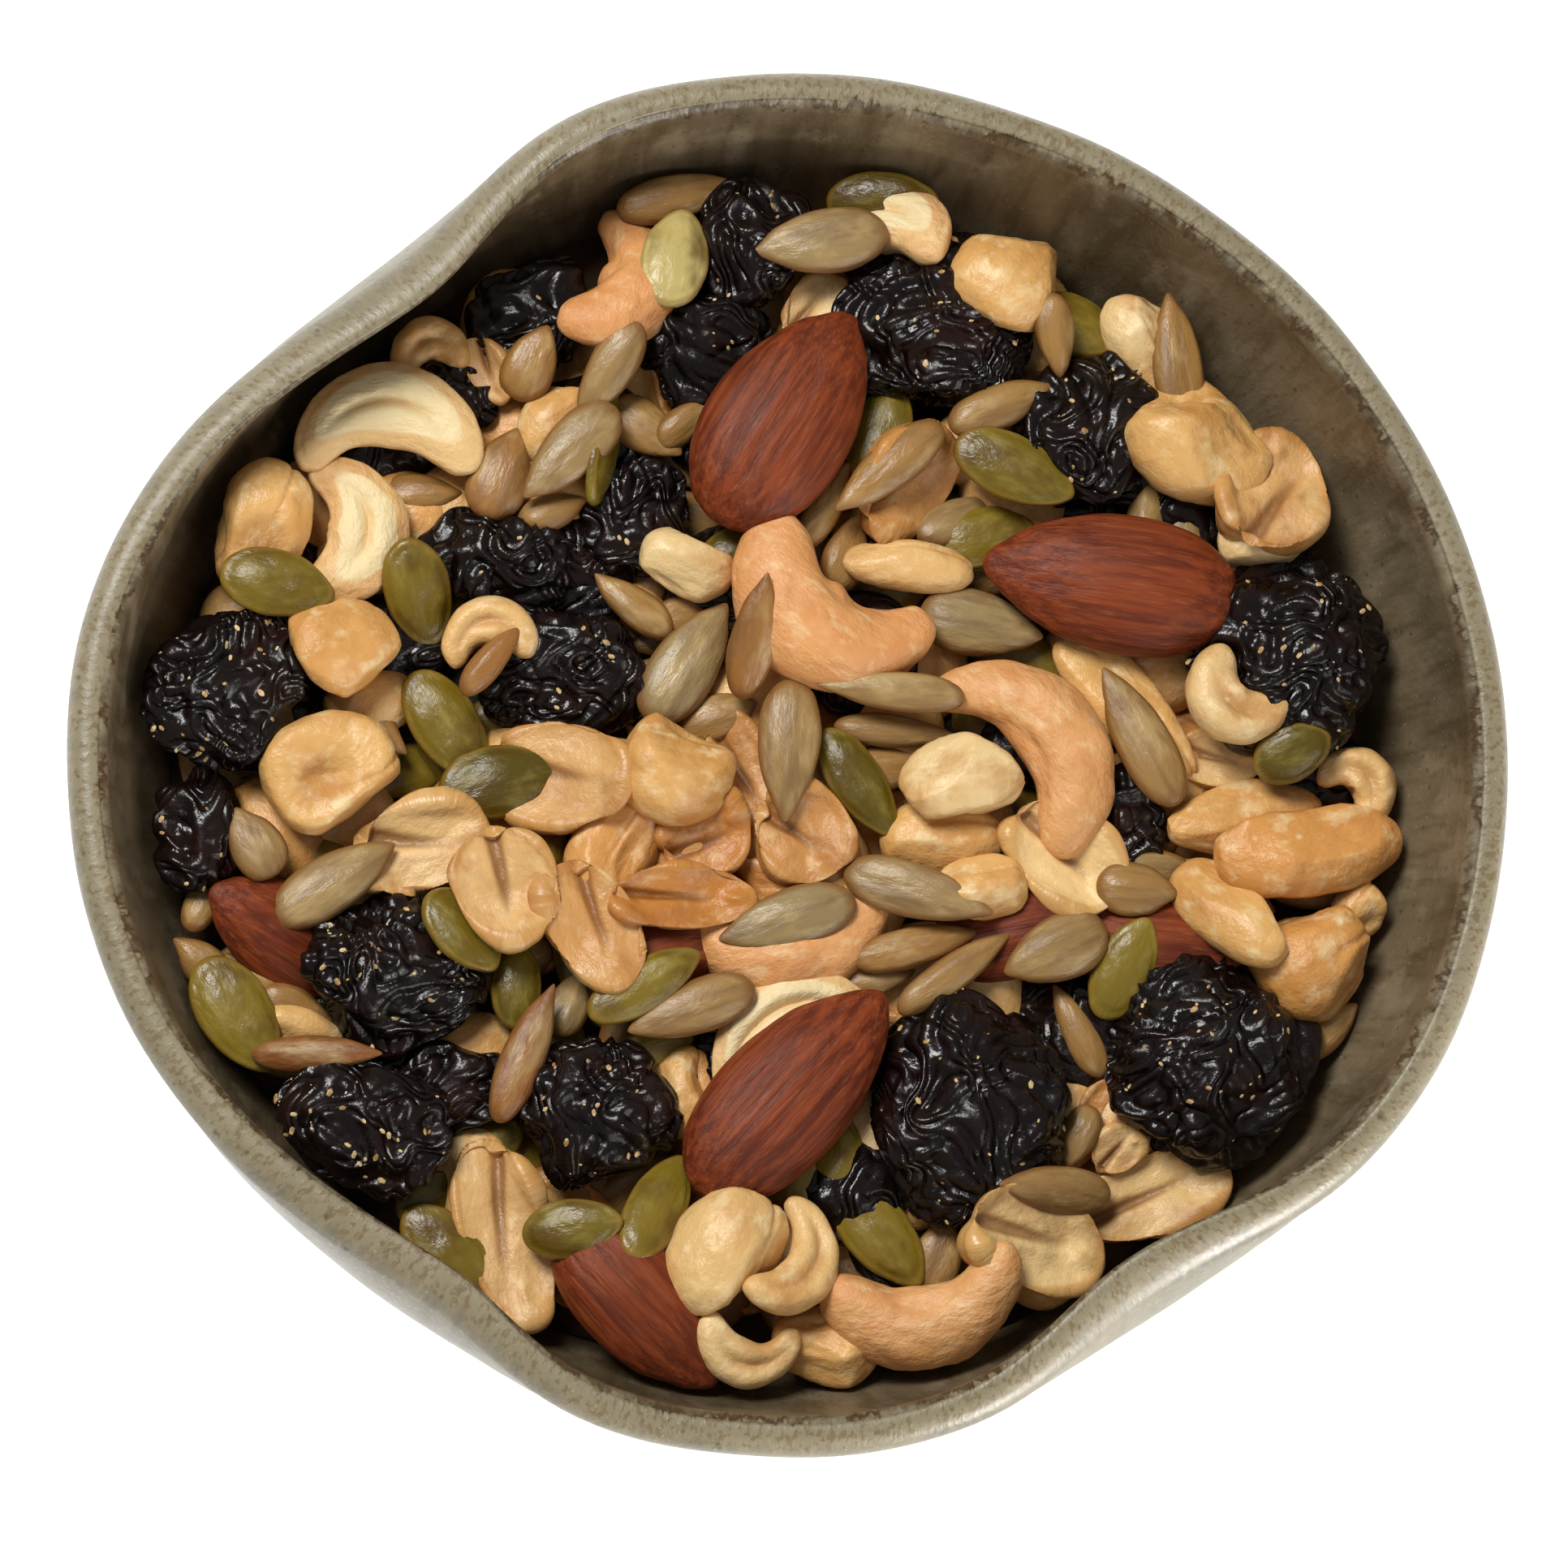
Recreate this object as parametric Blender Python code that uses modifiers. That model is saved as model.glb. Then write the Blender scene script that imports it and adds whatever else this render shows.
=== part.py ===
"""A hand-pressed stoneware bowl filled with a loose heap of trail mix.

The bowl is one turned shell whose rim has been pushed in at three places.
The heap is a core that fills the bowl, with the nuts, raisins and seeds that
show fused to its top.  Sizes are in millimetres until a mesh is made.
"""

import math

import bmesh
import bpy
import numpy as np
from mathutils import Matrix
from mathutils.geometry import normal

MM = 0.001
WELD = 0.00001

# Bowl
HEIGHT = 52.0
RIM_RADIUS = 67.2
FOOT_RADIUS = 34.0
FOOT_EDGE = 0.8
FOOT_RECESS_RADIUS = 26.0
FOOT_RECESS_DEPTH = 1.4
FOOT_INNER_SLOPE = 1.2
LIP = 4.2
WALL = 3.7
FLOOR = 7.0
FLOOR_RADIUS = 24.0
FLOOR_RISE = 1.2
SEGMENTS = 54
BASE_SHARE = 0.52
WALL_TURN = math.radians(85.0)
OUTER_LEVELS = (3.0, 6.0, 12.0, 20.0, 29.0, 36.0, 41.0, 45.5)
LIP_STEPS = 3

# Rim plan: a slightly oval ring with three pressed-in places
# Each press is: angle, depth, spread before, spread after, reach below the rim
OVAL = 1.2
OVAL_ANGLE = 5.0
PRESSES = (
    (130.0, 8.5, 16.0, 24.0, 24.0),
    (236.0, 5.5, 24.0, 12.0, 20.0),
    (304.0, 7.0, 15.0, 17.0, 20.0),
)

# Heap
HEAP_GAP = 0.3
WALL_CLEARANCE = 0.4
EDGE_LEVEL = 40.0
MOUND = 1.2
CORE_DROP = 2.2
CORE_EDGE = EDGE_LEVEL - CORE_DROP
CORE_RINGS = (0.85, 0.6, 0.3)
CORE_EDGE_STEP = 1.0

# Rings of the bowl's inner wall, one of them where the core of the heap meets it
INNER_LEVELS = (45.5, 41.5, CORE_EDGE, 30.0, 20.0, 12.0)

# Pieces of the heap
LEVEL_LIFT = (-2.2, -0.4, 1.6, 3.0)
HIGHEST_TOP = 47.0
# Each piece is set down until only this share of its surface is clear of what it lies on,
# and is then pressed a little further in
SEATED = 0.91
PRESS_TOGETHER = 0.9
# A piece at the wall climbs it rather than slide inwards further than this
MOST_SLIDE = 1.5
MOST_CLIMB = 2.5
CLIMB_STEP = 0.5
SLIDE_TURNS = 6
TILTS = (0.0, -12.0, 12.0, -24.0, 24.0)
TILT_COST = 0.02
FACET_SWELL = 1.06
CELL = 0.75
GRID_HALF = 72.0
SAMPLES = (56, 34)

# Facets that meet at less than this many degrees are joined into one, where the heap
# stays closed, or else at the next smaller angle
FLAT_ENOUGH = (3.0, 2.5, 2.0, 1.5, 1.0)

# Thickness of each kind of piece as a share of its width, and the least there is
THICKNESS = {
    "almond": 0.62,
    "raisin": 0.62,
    "cashew": 0.86,
    "curl": 0.95,
    "nut": 0.78,
    "split": 0.62,
    "pumpkin": 0.4,
    "sunflower": 0.52,
}
SEED_THICKNESS = 2.6
# Degrees a bent piece turns through, and how a seed leans to its back end and tapers to its tip
BENDS = {"cashew": 105.0, "curl": 125.0}
TAPERS = {"almond": (0.16, 0.30), "pumpkin": (0.10, 0.22), "sunflower": (0.26, 0.45)}

# Sides round and steps along each kind of piece
FACETS = {
    "almond": (8, 6),
    "raisin": (7, 5),
    "cashew": (6, 8),
    "curl": (6, 6),
    "nut": (7, 4),
    "split": (7, 4),
    "pumpkin": (6, 4),
    "sunflower": (5, 4),
}

# The layout below is measured from a point beside the bowl's axis
LAYOUT_ORIGIN = (1.2, 1.8)

# Every row is: x, y, heading in degrees, length, width, level, and a fixed roll if any
# Level 0 lies deepest and level 3 on top.  A nut's or seed's tip is at its heading,
# and a bent piece bulges to the left of its heading.
ALMONDS = (
    (1.0, 35.6, 58, 24.5, 14.0, 2),
    (32.5, 20.4, 172, 25.0, 13.4, 2),
    (1.6, -29.2, 47, 26.0, 12.6, 2),
    (-12.8, -52.0, -47, 20.5, 11.0, 1),
    (-46.0, -14.5, 152, 17.5, 10.0, 0),
    (38.5, -14.5, -5, 19.0, 10.0, 0),
    (23.5, -13.0, 12, 16.0, 9.0, 0),
    (-10.5, -15.8, 20, 15.0, 9.0, 0),
)
RAISINS = (
    (-2.0, 55.0, 60, 14.0, 12.0, 0),
    (-23.0, 46.0, 30, 13.0, 12.0, 0),
    (-6.5, 43.5, -20, 15.0, 13.0, 0),
    (15.6, 46.0, 10, 19.0, 17.0, 1),
    (30.8, 35.4, 60, 16.5, 14.5, 1),
    (-30.0, 38.0, 0, 9.0, 8.0, 0),
    (-25.8, 21.8, -10, 16.5, 10.5, 0),
    (-12.8, 26.2, 60, 13.0, 11.0, 0),
    (-53.0, 8.3, 50, 17.0, 15.0, 1),
    (-56.0, -5.6, 80, 12.0, 9.5, 0),
    (-20.0, 10.8, -5, 17.0, 14.0, 0),
    (-35.6, -18.4, -20, 17.0, 15.0, 1),
    (-39.8, -33.6, -15, 17.5, 13.0, 1),
    (-30.3, -29.0, 10, 12.0, 10.0, 0),
    (-16.8, -31.0, 90, 15.5, 15.0, 1),
    (18.8, -30.8, 100, 21.5, 19.5, 1),
    (42.4, -26.0, 20, 21.0, 20.0, 2),
    (54.0, 14.8, 80, 20.0, 19.0, 1),
    (34.6, -2.0, 100, 11.0, 8.0, 0),
)
CASHEWS = (
    (-14.4, 50.0, -111, 18.0, 8.0, 1),
    (-37.0, 34.8, 0, 20.0, 8.2, 2),
    (-39.6, 24.3, -90, 16.0, 8.0, 1),
    (4.5, 16.2, 145, 23.0, 10.6, 2),
    (25.6, 4.8, -53, 23.5, 8.6, 2),
    (14.6, -49.6, -168, 21.5, 8.2, 2),
    (2.2, -14.2, -170, 22.0, 8.6, 0),
    (11.0, 56.2, -5, 15.5, 7.6, 1),
    (1.0, -22.8, 30, 19.0, 6.4, 1),
)
CURLS = (
    (-27.4, 14.3, 10, 10.5, 4.8, 2),
    (57.2, 2.0, -45, 9.5, 5.0, 1),
    (-2.6, -53.8, 170, 11.5, 4.6, 1),
    (-33.2, 42.3, 20, 9.0, 4.6, 1),
    (44.0, 8.6, 145, 12.0, 6.4, 2),
    (2.2, -45.4, -118, 14.0, 5.2, 2),
)
NUTS = (
    (-15.2, -6.5, 60, 11.0, 8.4, 1),
    (41.3, 34.6, -25, 15.0, 12.6, 2),
    (-51.2, 25.0, 62, 13.2, 10.2, 1),
    (-41.0, 12.3, 12, 12.8, 10.0, 1),
    (-42.0, 0.6, 20, 13.0, 11.5, 2),
    (-8.2, 21.4, -8, 9.5, 7.0, 1),
    (-9.2, 1.4, 0, 11.4, 10.8, 2),
    (13.3, 22.0, -6, 12.8, 5.6, 2),
    (18.2, 0.9, 14, 12.4, 9.0, 2),
    (16.6, -4.6, 5, 12.0, 8.5, 0),
    (25.0, 54.2, 40, 13.0, 11.5, 1),
    (36.8, 45.0, -58, 11.0, 7.6, 1),
    (47.6, 25.4, 20, 9.0, 6.6, 1),
    (52.8, -15.6, 30, 12.6, 11.8, 1),
    (51.8, -5.2, 8, 20.0, 9.2, 2),
    (46.0, -1.6, 12, 17.5, 7.0, 0),
    (43.8, -11.4, -47, 14.0, 7.5, 1),
    (-4.5, -44.6, 58, 13.5, 11.0, 2),
    (5.8, -54.0, -10, 11.0, 8.0, 0),
    (-8.0, -29.0, 80, 9.0, 7.0, 0),
    (20.4, -9.4, 10, 9.5, 6.5, 1),
    (-21.0, 35.4, 62, 8.8, 6.0, 1),
    (34.5, 8.8, -46, 18.5, 7.5, 0),
)
SPLITS = (
    (-20.2, 0.6, -6, 14.8, 10.5, 1),
    (-33.4, -6.2, 18, 13.6, 8.8, 1),
    (-25.6, -10.3, -60, 11.4, 10.0, 2),
    (-6.4, -4.6, 30, 8.8, 8.4, 1),
    (3.0, -4.4, -60, 10.0, 9.4, 1),
    (28.2, -6.2, -40, 13.0, 9.5, 0),
    (52.0, 31.6, 78, 13.6, 11.0, 1),
    (13.2, 30.6, 52, 12.5, 9.6, 1, 35),
    (24.6, -42.8, -18, 15.0, 10.0, 1),
    (37.4, -38.6, 20, 16.0, 8.0, 0),
    (-17.3, -13.8, -58, 13.5, 8.5, 1),
    (-25.4, -43.0, -72, 18.6, 8.4, 1),
    (-8.8, -11.0, 2, 14.6, 6.2, 2),
    (-2.6, 0.8, -75, 14.5, 6.4, 0),
)
PUMPKIN_SEEDS = (
    (-9.6, 51.1, 78, 10.6, 6.6, 2),
    (23.2, 31.2, -24, 12.6, 6.4, 2),
    (20.8, 25.2, 14, 10.0, 5.8, 1),
    (-16.2, 32.8, 78, 12.2, 6.0, 1, 70),
    (-47.3, 18.0, -12, 11.0, 6.4, 2),
    (-33.8, 18.2, -72, 11.0, 6.4, 1),
    (-30.8, 5.6, -57, 12.4, 6.4, 2),
    (-25.9, 0.2, 12, 11.6, 7.0, 3),
    (8.3, 0.7, -56, 12.4, 5.2, 1),
    (49.8, 3.9, 26, 8.0, 5.4, 2),
    (-29.4, -14.4, -50, 9.6, 6.4, 1),
    (-12.3, -19.3, 31, 12.2, 5.0, 2),
    (-52.2, -23.2, -57, 12.4, 7.0, 2),
    (33.8, -16.8, 66, 10.6, 5.8, 1),
    (-19.0, -42.4, 8, 9.5, 5.6, 1),
    (-11.0, -40.2, 62, 12.6, 5.6, 1),
    (10.3, -42.0, -50, 13.0, 6.4, 1),
    (-30.4, -44.8, -44, 11.6, 6.0, 1),
)
SUNFLOWER_SEEDS = (
    (-9.5, 60.6, 15, 12.5, 4.4, 1),
    (4.4, 52.8, 190, 13.2, 6.2, 2),
    (42.0, 46.2, 97, 13.0, 4.8, 1),
    (-23.2, 40.8, 66, 7.8, 5.0, 1),
    (-16.0, 39.5, 240, 11.5, 4.4, 2),
    (-19.6, 31.8, 226, 12.6, 5.4, 3),
    (-26.0, 30.0, 70, 9.5, 5.8, 1),
    (22.0, 37.4, 24, 11.0, 4.4, 1),
    (27.1, 44.2, -82, 8.2, 3.8, 2),
    (11.0, 31.0, 220, 13.4, 4.6, 2),
    (5.4, 28.0, 62, 9.8, 3.4, 1),
    (20.4, 16.5, -10, 12.2, 6.4, 1),
    (-13.2, 17.8, 142, 9.4, 3.6, 1),
    (-8.0, 12.2, 57, 13.8, 6.4, 1),
    (-2.1, 14.0, 80, 12.6, 4.4, 3),
    (-27.0, 11.2, 51, 8.6, 3.0, 3),
    (11.0, 9.0, 176, 14.2, 3.8, 2),
    (12.0, 5.8, -4, 12.0, 3.2, 1),
    (1.4, 3.4, -93, 13.8, 5.8, 3),
    (35.4, 5.6, 118, 15.0, 5.4, 2),
    (-41.4, -9.8, 34, 13.4, 5.6, 2),
    (-49.0, -6.2, 120, 7.5, 5.0, 1),
    (1.3, -12.8, 197, 13.6, 5.6, 2),
    (13.8, -10.0, -17, 14.8, 5.2, 2),
    (35.0, -9.3, -5, 8.0, 5.2, 1),
    (27.0, -15.2, 205, 10.8, 6.2, 2),
    (13.8, -14.9, 14, 12.8, 3.8, 1),
    (17.3, -17.6, 36, 13.2, 3.6, 2),
    (29.6, -22.6, 118, 10.0, 3.4, 1),
    (-7.8, -21.5, 200, 12.8, 5.0, 2),
    (-23.4, -25.8, 68, 14.2, 4.2, 2),
    (-43.0, -26.3, 0, 12.4, 3.4, 2),
    (26.6, -38.2, 178, 12.4, 4.4, 2),
)


def outer_radius(z):
    """Radius of the plain turned bowl at a height, before its rim is pressed."""
    rise = np.sin(WALL_TURN * z / HEIGHT) / math.sin(WALL_TURN)
    return RIM_RADIUS * (BASE_SHARE + (1.0 - BASE_SHARE) * rise)


def inner_radius(z):
    """Radius of the bowl's inner face at a height, before its rim is pressed."""
    return outer_radius(z) - WALL


def plan_shift(angle, z):
    """How far the wall stands out (or in, where pressed) at an angle and height."""
    shift = OVAL * np.cos(2.0 * np.radians(angle - OVAL_ANGLE)) * np.clip(z / HEIGHT, 0.0, 1.0)
    for centre, depth, before, after, reach in PRESSES:
        turn = (angle - centre + 180.0) % 360.0 - 180.0
        spread = np.where(turn < 0.0, before, after)
        fade = np.clip(1.0 - (HEIGHT - z) / reach, 0.0, 1.0) ** 2
        shift = shift - depth * np.exp(-((turn / spread) ** 2)) * fade
    return shift


def press_plan(points):
    """Move points, an (n, 3) array, as the pressed and oval wall carries them."""
    radius = np.hypot(points[:, 0], points[:, 1])
    angle = np.degrees(np.arctan2(points[:, 1], points[:, 0]))
    wall = inner_radius(points[:, 2])
    share = np.clip(radius / wall, 0.0, 1.0) ** 2
    grown = radius + plan_shift(angle, points[:, 2]) * share
    scale = grown / np.maximum(radius, 1e-9)
    pressed = points.copy()
    pressed[:, 0] *= scale
    pressed[:, 1] *= scale
    return pressed


def heap_level(x, y):
    """Height at which the middle of a piece of the surface lies."""
    reach = np.hypot(x, y) / inner_radius(EDGE_LEVEL)
    return EDGE_LEVEL + MOUND * (1.0 - np.clip(reach, 0.0, 1.0) ** 2)


def set_points(mesh, points):
    """Write an (n, 3) array of millimetres into a mesh."""
    mesh.vertices.foreach_set("co", (points * MM).astype(np.float32).ravel())
    mesh.update()


def get_points(mesh):
    """Read a mesh's vertices as an (n, 3) array of millimetres."""
    flat = np.empty(len(mesh.vertices) * 3, dtype=np.float32)
    mesh.vertices.foreach_get("co", flat)
    return flat.reshape(-1, 3).astype(float) / MM


def make_material(name, colour, roughness):
    """A Principled surface of one colour."""
    material = bpy.data.materials.new(name)
    material.use_nodes = True
    shader = material.node_tree.nodes["Principled BSDF"]
    shader.inputs["Base Color"].default_value = (*colour, 1.0)
    shader.inputs["Roughness"].default_value = roughness
    shader.inputs["Metallic"].default_value = 0.0
    return material


def freeze(obj):
    """Replace an object's mesh by its evaluated mesh and drop its modifiers."""
    graph = bpy.context.evaluated_depsgraph_get()
    mesh = bpy.data.meshes.new_from_object(obj.evaluated_get(graph))
    obj.modifiers.clear()
    obj.data = mesh


def turned(name, profile, collection):
    """Turn a profile of (radius, height) points, outer side downwards, about Z."""
    mesh = bpy.data.meshes.new(name)
    points = [(radius * MM, 0.0, height * MM) for radius, height in profile]
    pairs = zip(range(len(points) - 1), range(1, len(points)))
    edges = [(first, last) for first, last in pairs if profile[first][0] + profile[last][0] > 0.0]
    mesh.from_pydata(points, edges, [])
    obj = bpy.data.objects.new(name, mesh)
    collection.objects.link(obj)
    screw = obj.modifiers.new("turn", 'SCREW')
    screw.axis = 'Z'
    screw.steps = SEGMENTS
    screw.render_steps = SEGMENTS
    screw.use_merge_vertices = True
    screw.merge_threshold = WELD
    freeze(obj)
    return obj


def lip_arc(first, last):
    """Points round the lip's half-round edge between two angles of its section."""
    arc = []
    for step in range(LIP_STEPS + 1):
        turn = math.radians(first + (last - first) * step / LIP_STEPS)
        radius = RIM_RADIUS - LIP / 2.0 * (1.0 - math.cos(turn))
        arc.append((radius, HEIGHT - LIP / 2.0 * (1.0 - math.sin(turn))))
    return arc


def press_rim(mesh):
    """Give a turned mesh the bowl's pressed plan, on triangles only."""
    solid = bmesh.new()
    solid.from_mesh(mesh)
    bmesh.ops.remove_doubles(solid, verts=solid.verts, dist=WELD)
    bmesh.ops.triangulate(solid, faces=solid.faces)
    solid.to_mesh(mesh)
    solid.free()
    set_points(mesh, press_plan(get_points(mesh)))


def bowl_profile():
    """Half section of the bowl: lip, outer wall, foot, recess, and back up inside."""
    outer = [(outer_radius(z), z) for z in reversed(OUTER_LEVELS)]
    foot = [
        (FOOT_RADIUS, FOOT_EDGE),
        (FOOT_RADIUS - FOOT_EDGE, 0.0),
        (FOOT_RECESS_RADIUS + FOOT_INNER_SLOPE, 0.0),
        (FOOT_RECESS_RADIUS, FOOT_RECESS_DEPTH),
        (0.0, FOOT_RECESS_DEPTH),
    ]
    floor = [(0.0, FLOOR), (FLOOR_RADIUS, FLOOR + FLOOR_RISE)]
    inner = [(inner_radius(z), z) for z in reversed(INNER_LEVELS)]
    return lip_arc(90.0, 0.0) + outer + foot + floor + inner + lip_arc(180.0, 90.0)


def make_bowl(collection):
    """The pressed stoneware bowl."""
    bowl = turned("bowl", bowl_profile(), collection)
    press_rim(bowl.data)
    bowl.data.materials.append(make_material("stoneware", (0.42, 0.39, 0.32), 0.45))
    bowl.data.shade_smooth()
    bowl.data.set_sharp_from_angle(angle=math.radians(40.0))
    return bowl


def make_core(collection):
    """The part of the heap below its surface, which follows the bowl's inside."""
    edge = inner_radius(CORE_EDGE) - HEAP_GAP
    profile = [(0.0, CORE_EDGE + MOUND)]
    for share in reversed(CORE_RINGS):
        profile.append((edge * share, heap_level(edge * share, 0.0) - CORE_DROP))
    profile.append((edge, CORE_EDGE))
    for z in INNER_LEVELS:
        if z < CORE_EDGE - CORE_EDGE_STEP:
            profile.append((inner_radius(z) - HEAP_GAP, z + HEAP_GAP))
    profile.append((FLOOR_RADIUS, FLOOR + FLOOR_RISE + HEAP_GAP))
    profile.append((0.0, FLOOR + HEAP_GAP))
    core = turned("trail_mix", profile, collection)
    press_rim(core.data)
    return core


def tapered(unit, lean, point):
    """Girth along a seed or nut: fuller at its back end, drawn in towards its tip."""
    along = unit[:, 0]
    return (1.0 - lean * along) * (1.0 - point * np.clip(along, 0.0, 1.0) ** 3)


def seed_form(unit, length, width, thick, lean, point):
    """A teardrop: almond, pumpkin seed or sunflower kernel."""
    girth = tapered(unit, lean, point)
    across = unit[:, 1] * girth * width / 2.0
    up = unit[:, 2] * girth * thick / 2.0
    return np.column_stack([unit[:, 0] * length / 2.0, across, up])


def nut_form(unit, length, width, thick):
    """A plump whole nut, a little fuller than an ellipsoid."""
    ring = np.maximum(np.hypot(unit[:, 1], unit[:, 2]), 1e-6)
    girth = ring ** -0.18 * (1.0 - 0.08 * unit[:, 0])
    across = unit[:, 1] * girth * width / 2.0
    up = unit[:, 2] * girth * thick / 2.0
    return np.column_stack([unit[:, 0] * length / 2.0, across, up])


def split_form(unit, length, width, thick):
    """Half a nut, its flat face up and slightly dished."""
    ring = np.maximum(np.hypot(unit[:, 1], unit[:, 2]), 1e-6)
    across = unit[:, 1] * ring ** -0.12 * width / 2.0
    inside = np.clip(1.0 - (unit[:, 0] ** 2 + unit[:, 1] ** 2), 0.0, 1.0)
    face = thick * (0.16 - 0.30 * inside)
    rise = face * np.clip(unit[:, 2] * 4.0, 0.0, 1.0)
    up = np.where(unit[:, 2] > 0.0, rise, unit[:, 2] * thick * 0.8)
    return np.column_stack([unit[:, 0] * length / 2.0, across, up])


def bent_form(unit, length, width, thick, bend):
    """A cashew or curled nut: a full rod bent through an angle, bulging to +Y."""
    ring = np.maximum(np.hypot(unit[:, 1], unit[:, 2]), 1e-6)
    girth = ring ** -0.3 * (1.0 + 0.10 * unit[:, 0])
    half = math.radians(bend) / 2.0
    radius = (length - width) / (2.0 * math.sin(half))
    turn = unit[:, 0] * half * (1.0 + width / (2.0 * radius * half) * np.abs(unit[:, 0]) ** 3)
    out = radius + np.maximum(unit[:, 1] * girth * width / 2.0, -0.75 * radius)
    lift = radius * (1.0 + math.cos(half)) / 2.0
    up = unit[:, 2] * girth * thick / 2.0
    return np.column_stack([out * np.sin(turn), out * np.cos(turn) - lift, up])


def raisin_form(unit, length, width, thick, number):
    """A shrunken, lumpy fruit.  Its number in the list sets where the lumps lie."""
    swell = np.ones(len(unit))
    for wave in range(1, 5):
        lean = np.array([math.sin(number * 2.1 + wave), math.cos(number * 1.3 + wave * 2.0),
                         math.sin(number * 0.7 + wave * 3.0)])
        swell += 0.045 * np.sin(unit @ lean * (2.0 + wave) + number + wave)
    return unit * swell[:, None] * np.array([length, width, thick]) / 2.0


def piece_form(kind, number, row, unit):
    """A piece's surface in its own frame, for points of a unit sphere with X lengthwise."""
    length, width = row[3], row[4]
    thick = max(width * THICKNESS[kind], SEED_THICKNESS)
    if kind == "raisin":
        return raisin_form(unit, length, width, thick, number)
    if kind == "nut":
        return nut_form(unit, length, width, thick)
    if kind == "split":
        return split_form(unit, length, width, thick)
    if kind in BENDS:
        return bent_form(unit, length, width, thick, BENDS[kind])
    return seed_form(unit, length, width, thick, *TAPERS[kind])


def unit_sphere(segments, rings):
    """A sphere of radius 1 with its poles on X, as a bmesh."""
    sphere = bmesh.new()
    bmesh.ops.create_uvsphere(sphere, u_segments=segments, v_segments=rings, radius=1.0)
    bmesh.ops.rotate(sphere, verts=sphere.verts, matrix=Matrix.Rotation(math.radians(90.0), 3, 'Y'))
    return sphere


def sphere_points(segments, rings):
    """The vertices of a unit sphere as an (n, 3) array."""
    sphere = unit_sphere(segments, rings)
    points = np.array([vert.co[:] for vert in sphere.verts])
    sphere.free()
    return points


def turn_matrix(heading, pitch, roll):
    """Roll about the length, then nose up or down, then heading, as a 3 by 3 array."""
    turn = Matrix.Rotation(math.radians(heading), 3, 'Z')
    turn = turn @ Matrix.Rotation(math.radians(-pitch), 3, 'Y')
    turn = turn @ Matrix.Rotation(math.radians(roll), 3, 'X')
    return np.array(turn)


def slide_inside(points):
    """How far a piece has to move in X and Y for all of it to clear the wall."""
    shift = np.zeros(2)
    for _ in range(SLIDE_TURNS):
        place = points[:, :2] + shift
        radius = np.hypot(place[:, 0], place[:, 1])
        angle = np.degrees(np.arctan2(place[:, 1], place[:, 0]))
        wall = inner_radius(points[:, 2])
        room = wall + plan_shift(angle, points[:, 2]) - WALL_CLEARANCE - radius
        worst = int(np.argmin(room))
        if room[worst] >= 0.0:
            break
        shift += place[worst] / radius[worst] * room[worst]
    return shift


class Surface:
    """The top of the heap so far, as a grid of heights."""

    def __init__(self):
        count = int(2.0 * GRID_HALF / CELL) + 1
        line = np.linspace(-GRID_HALF, GRID_HALF, count)
        across, along = np.meshgrid(line, line, indexing="ij")
        self.height = heap_level(across, along) - CORE_DROP
        self.piece_height = np.full_like(self.height, -1.0)

    def cells(self, points):
        return (np.rint((points[:, :2] + GRID_HALF) / CELL).astype(int)).T

    def rest(self, points, height):
        """The lift at which a piece's points are seated on a grid of heights."""
        column, row = self.cells(points)
        return float(np.quantile(height[column, row] - points[:, 2], SEATED))

    def add(self, points):
        column, row = self.cells(points)
        np.maximum.at(self.height, (column, row), points[:, 2])
        np.maximum.at(self.piece_height, (column, row), points[:, 2])


def settle(kind, number, row, surface, samples):
    """Lay one piece on the heap.  Returns its turn and its place."""
    x = row[0] - LAYOUT_ORIGIN[0]
    y = row[1] - LAYOUT_ORIGIN[1]
    level = row[5]
    body = piece_form(kind, number, row, samples)
    rolls = (row[6],) if len(row) > 6 else TILTS
    best = None
    for pitch in TILTS:
        for roll in rolls:
            turn = turn_matrix(row[2], pitch, roll)
            points = body @ turn.T + np.array([x, y, 0.0])
            lift = surface.rest(points, surface.piece_height) - PRESS_TOGETHER
            lift = max(lift, float(heap_level(x, y)) + LEVEL_LIFT[level])
            cost = lift + TILT_COST * (abs(pitch) + abs(roll))
            if best is None or cost < best[0]:
                best = (cost, lift, turn, points)
    _, lift, turn, points = best
    ground = surface.rest(points, surface.height) - PRESS_TOGETHER
    lift = min(lift, ground, HIGHEST_TOP - float(points[:, 2].max()))
    place = np.array([x, y, lift])
    turned_body = body @ turn.T
    highest = min(lift + MOST_CLIMB, HIGHEST_TOP - float(turned_body[:, 2].max()))
    slide = slide_inside(turned_body * FACET_SWELL + place)
    while np.hypot(*slide) > MOST_SLIDE and place[2] + CLIMB_STEP < highest:
        place[2] += CLIMB_STEP
        slide = slide_inside(turned_body * FACET_SWELL + place)
    place[:2] += slide
    surface.add(turned_body + place)
    return turn, place


def laid_out():
    """Every piece with its kind and number, deepest first."""
    lists = (
        ("raisin", RAISINS),
        ("almond", ALMONDS),
        ("cashew", CASHEWS),
        ("nut", NUTS),
        ("split", SPLITS),
        ("curl", CURLS),
        ("pumpkin", PUMPKIN_SEEDS),
        ("sunflower", SUNFLOWER_SEEDS),
    )
    pieces = [(kind, number, row) for kind, rows in lists for number, row in enumerate(rows)]
    return sorted(pieces, key=lambda piece: piece[2][5])


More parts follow.
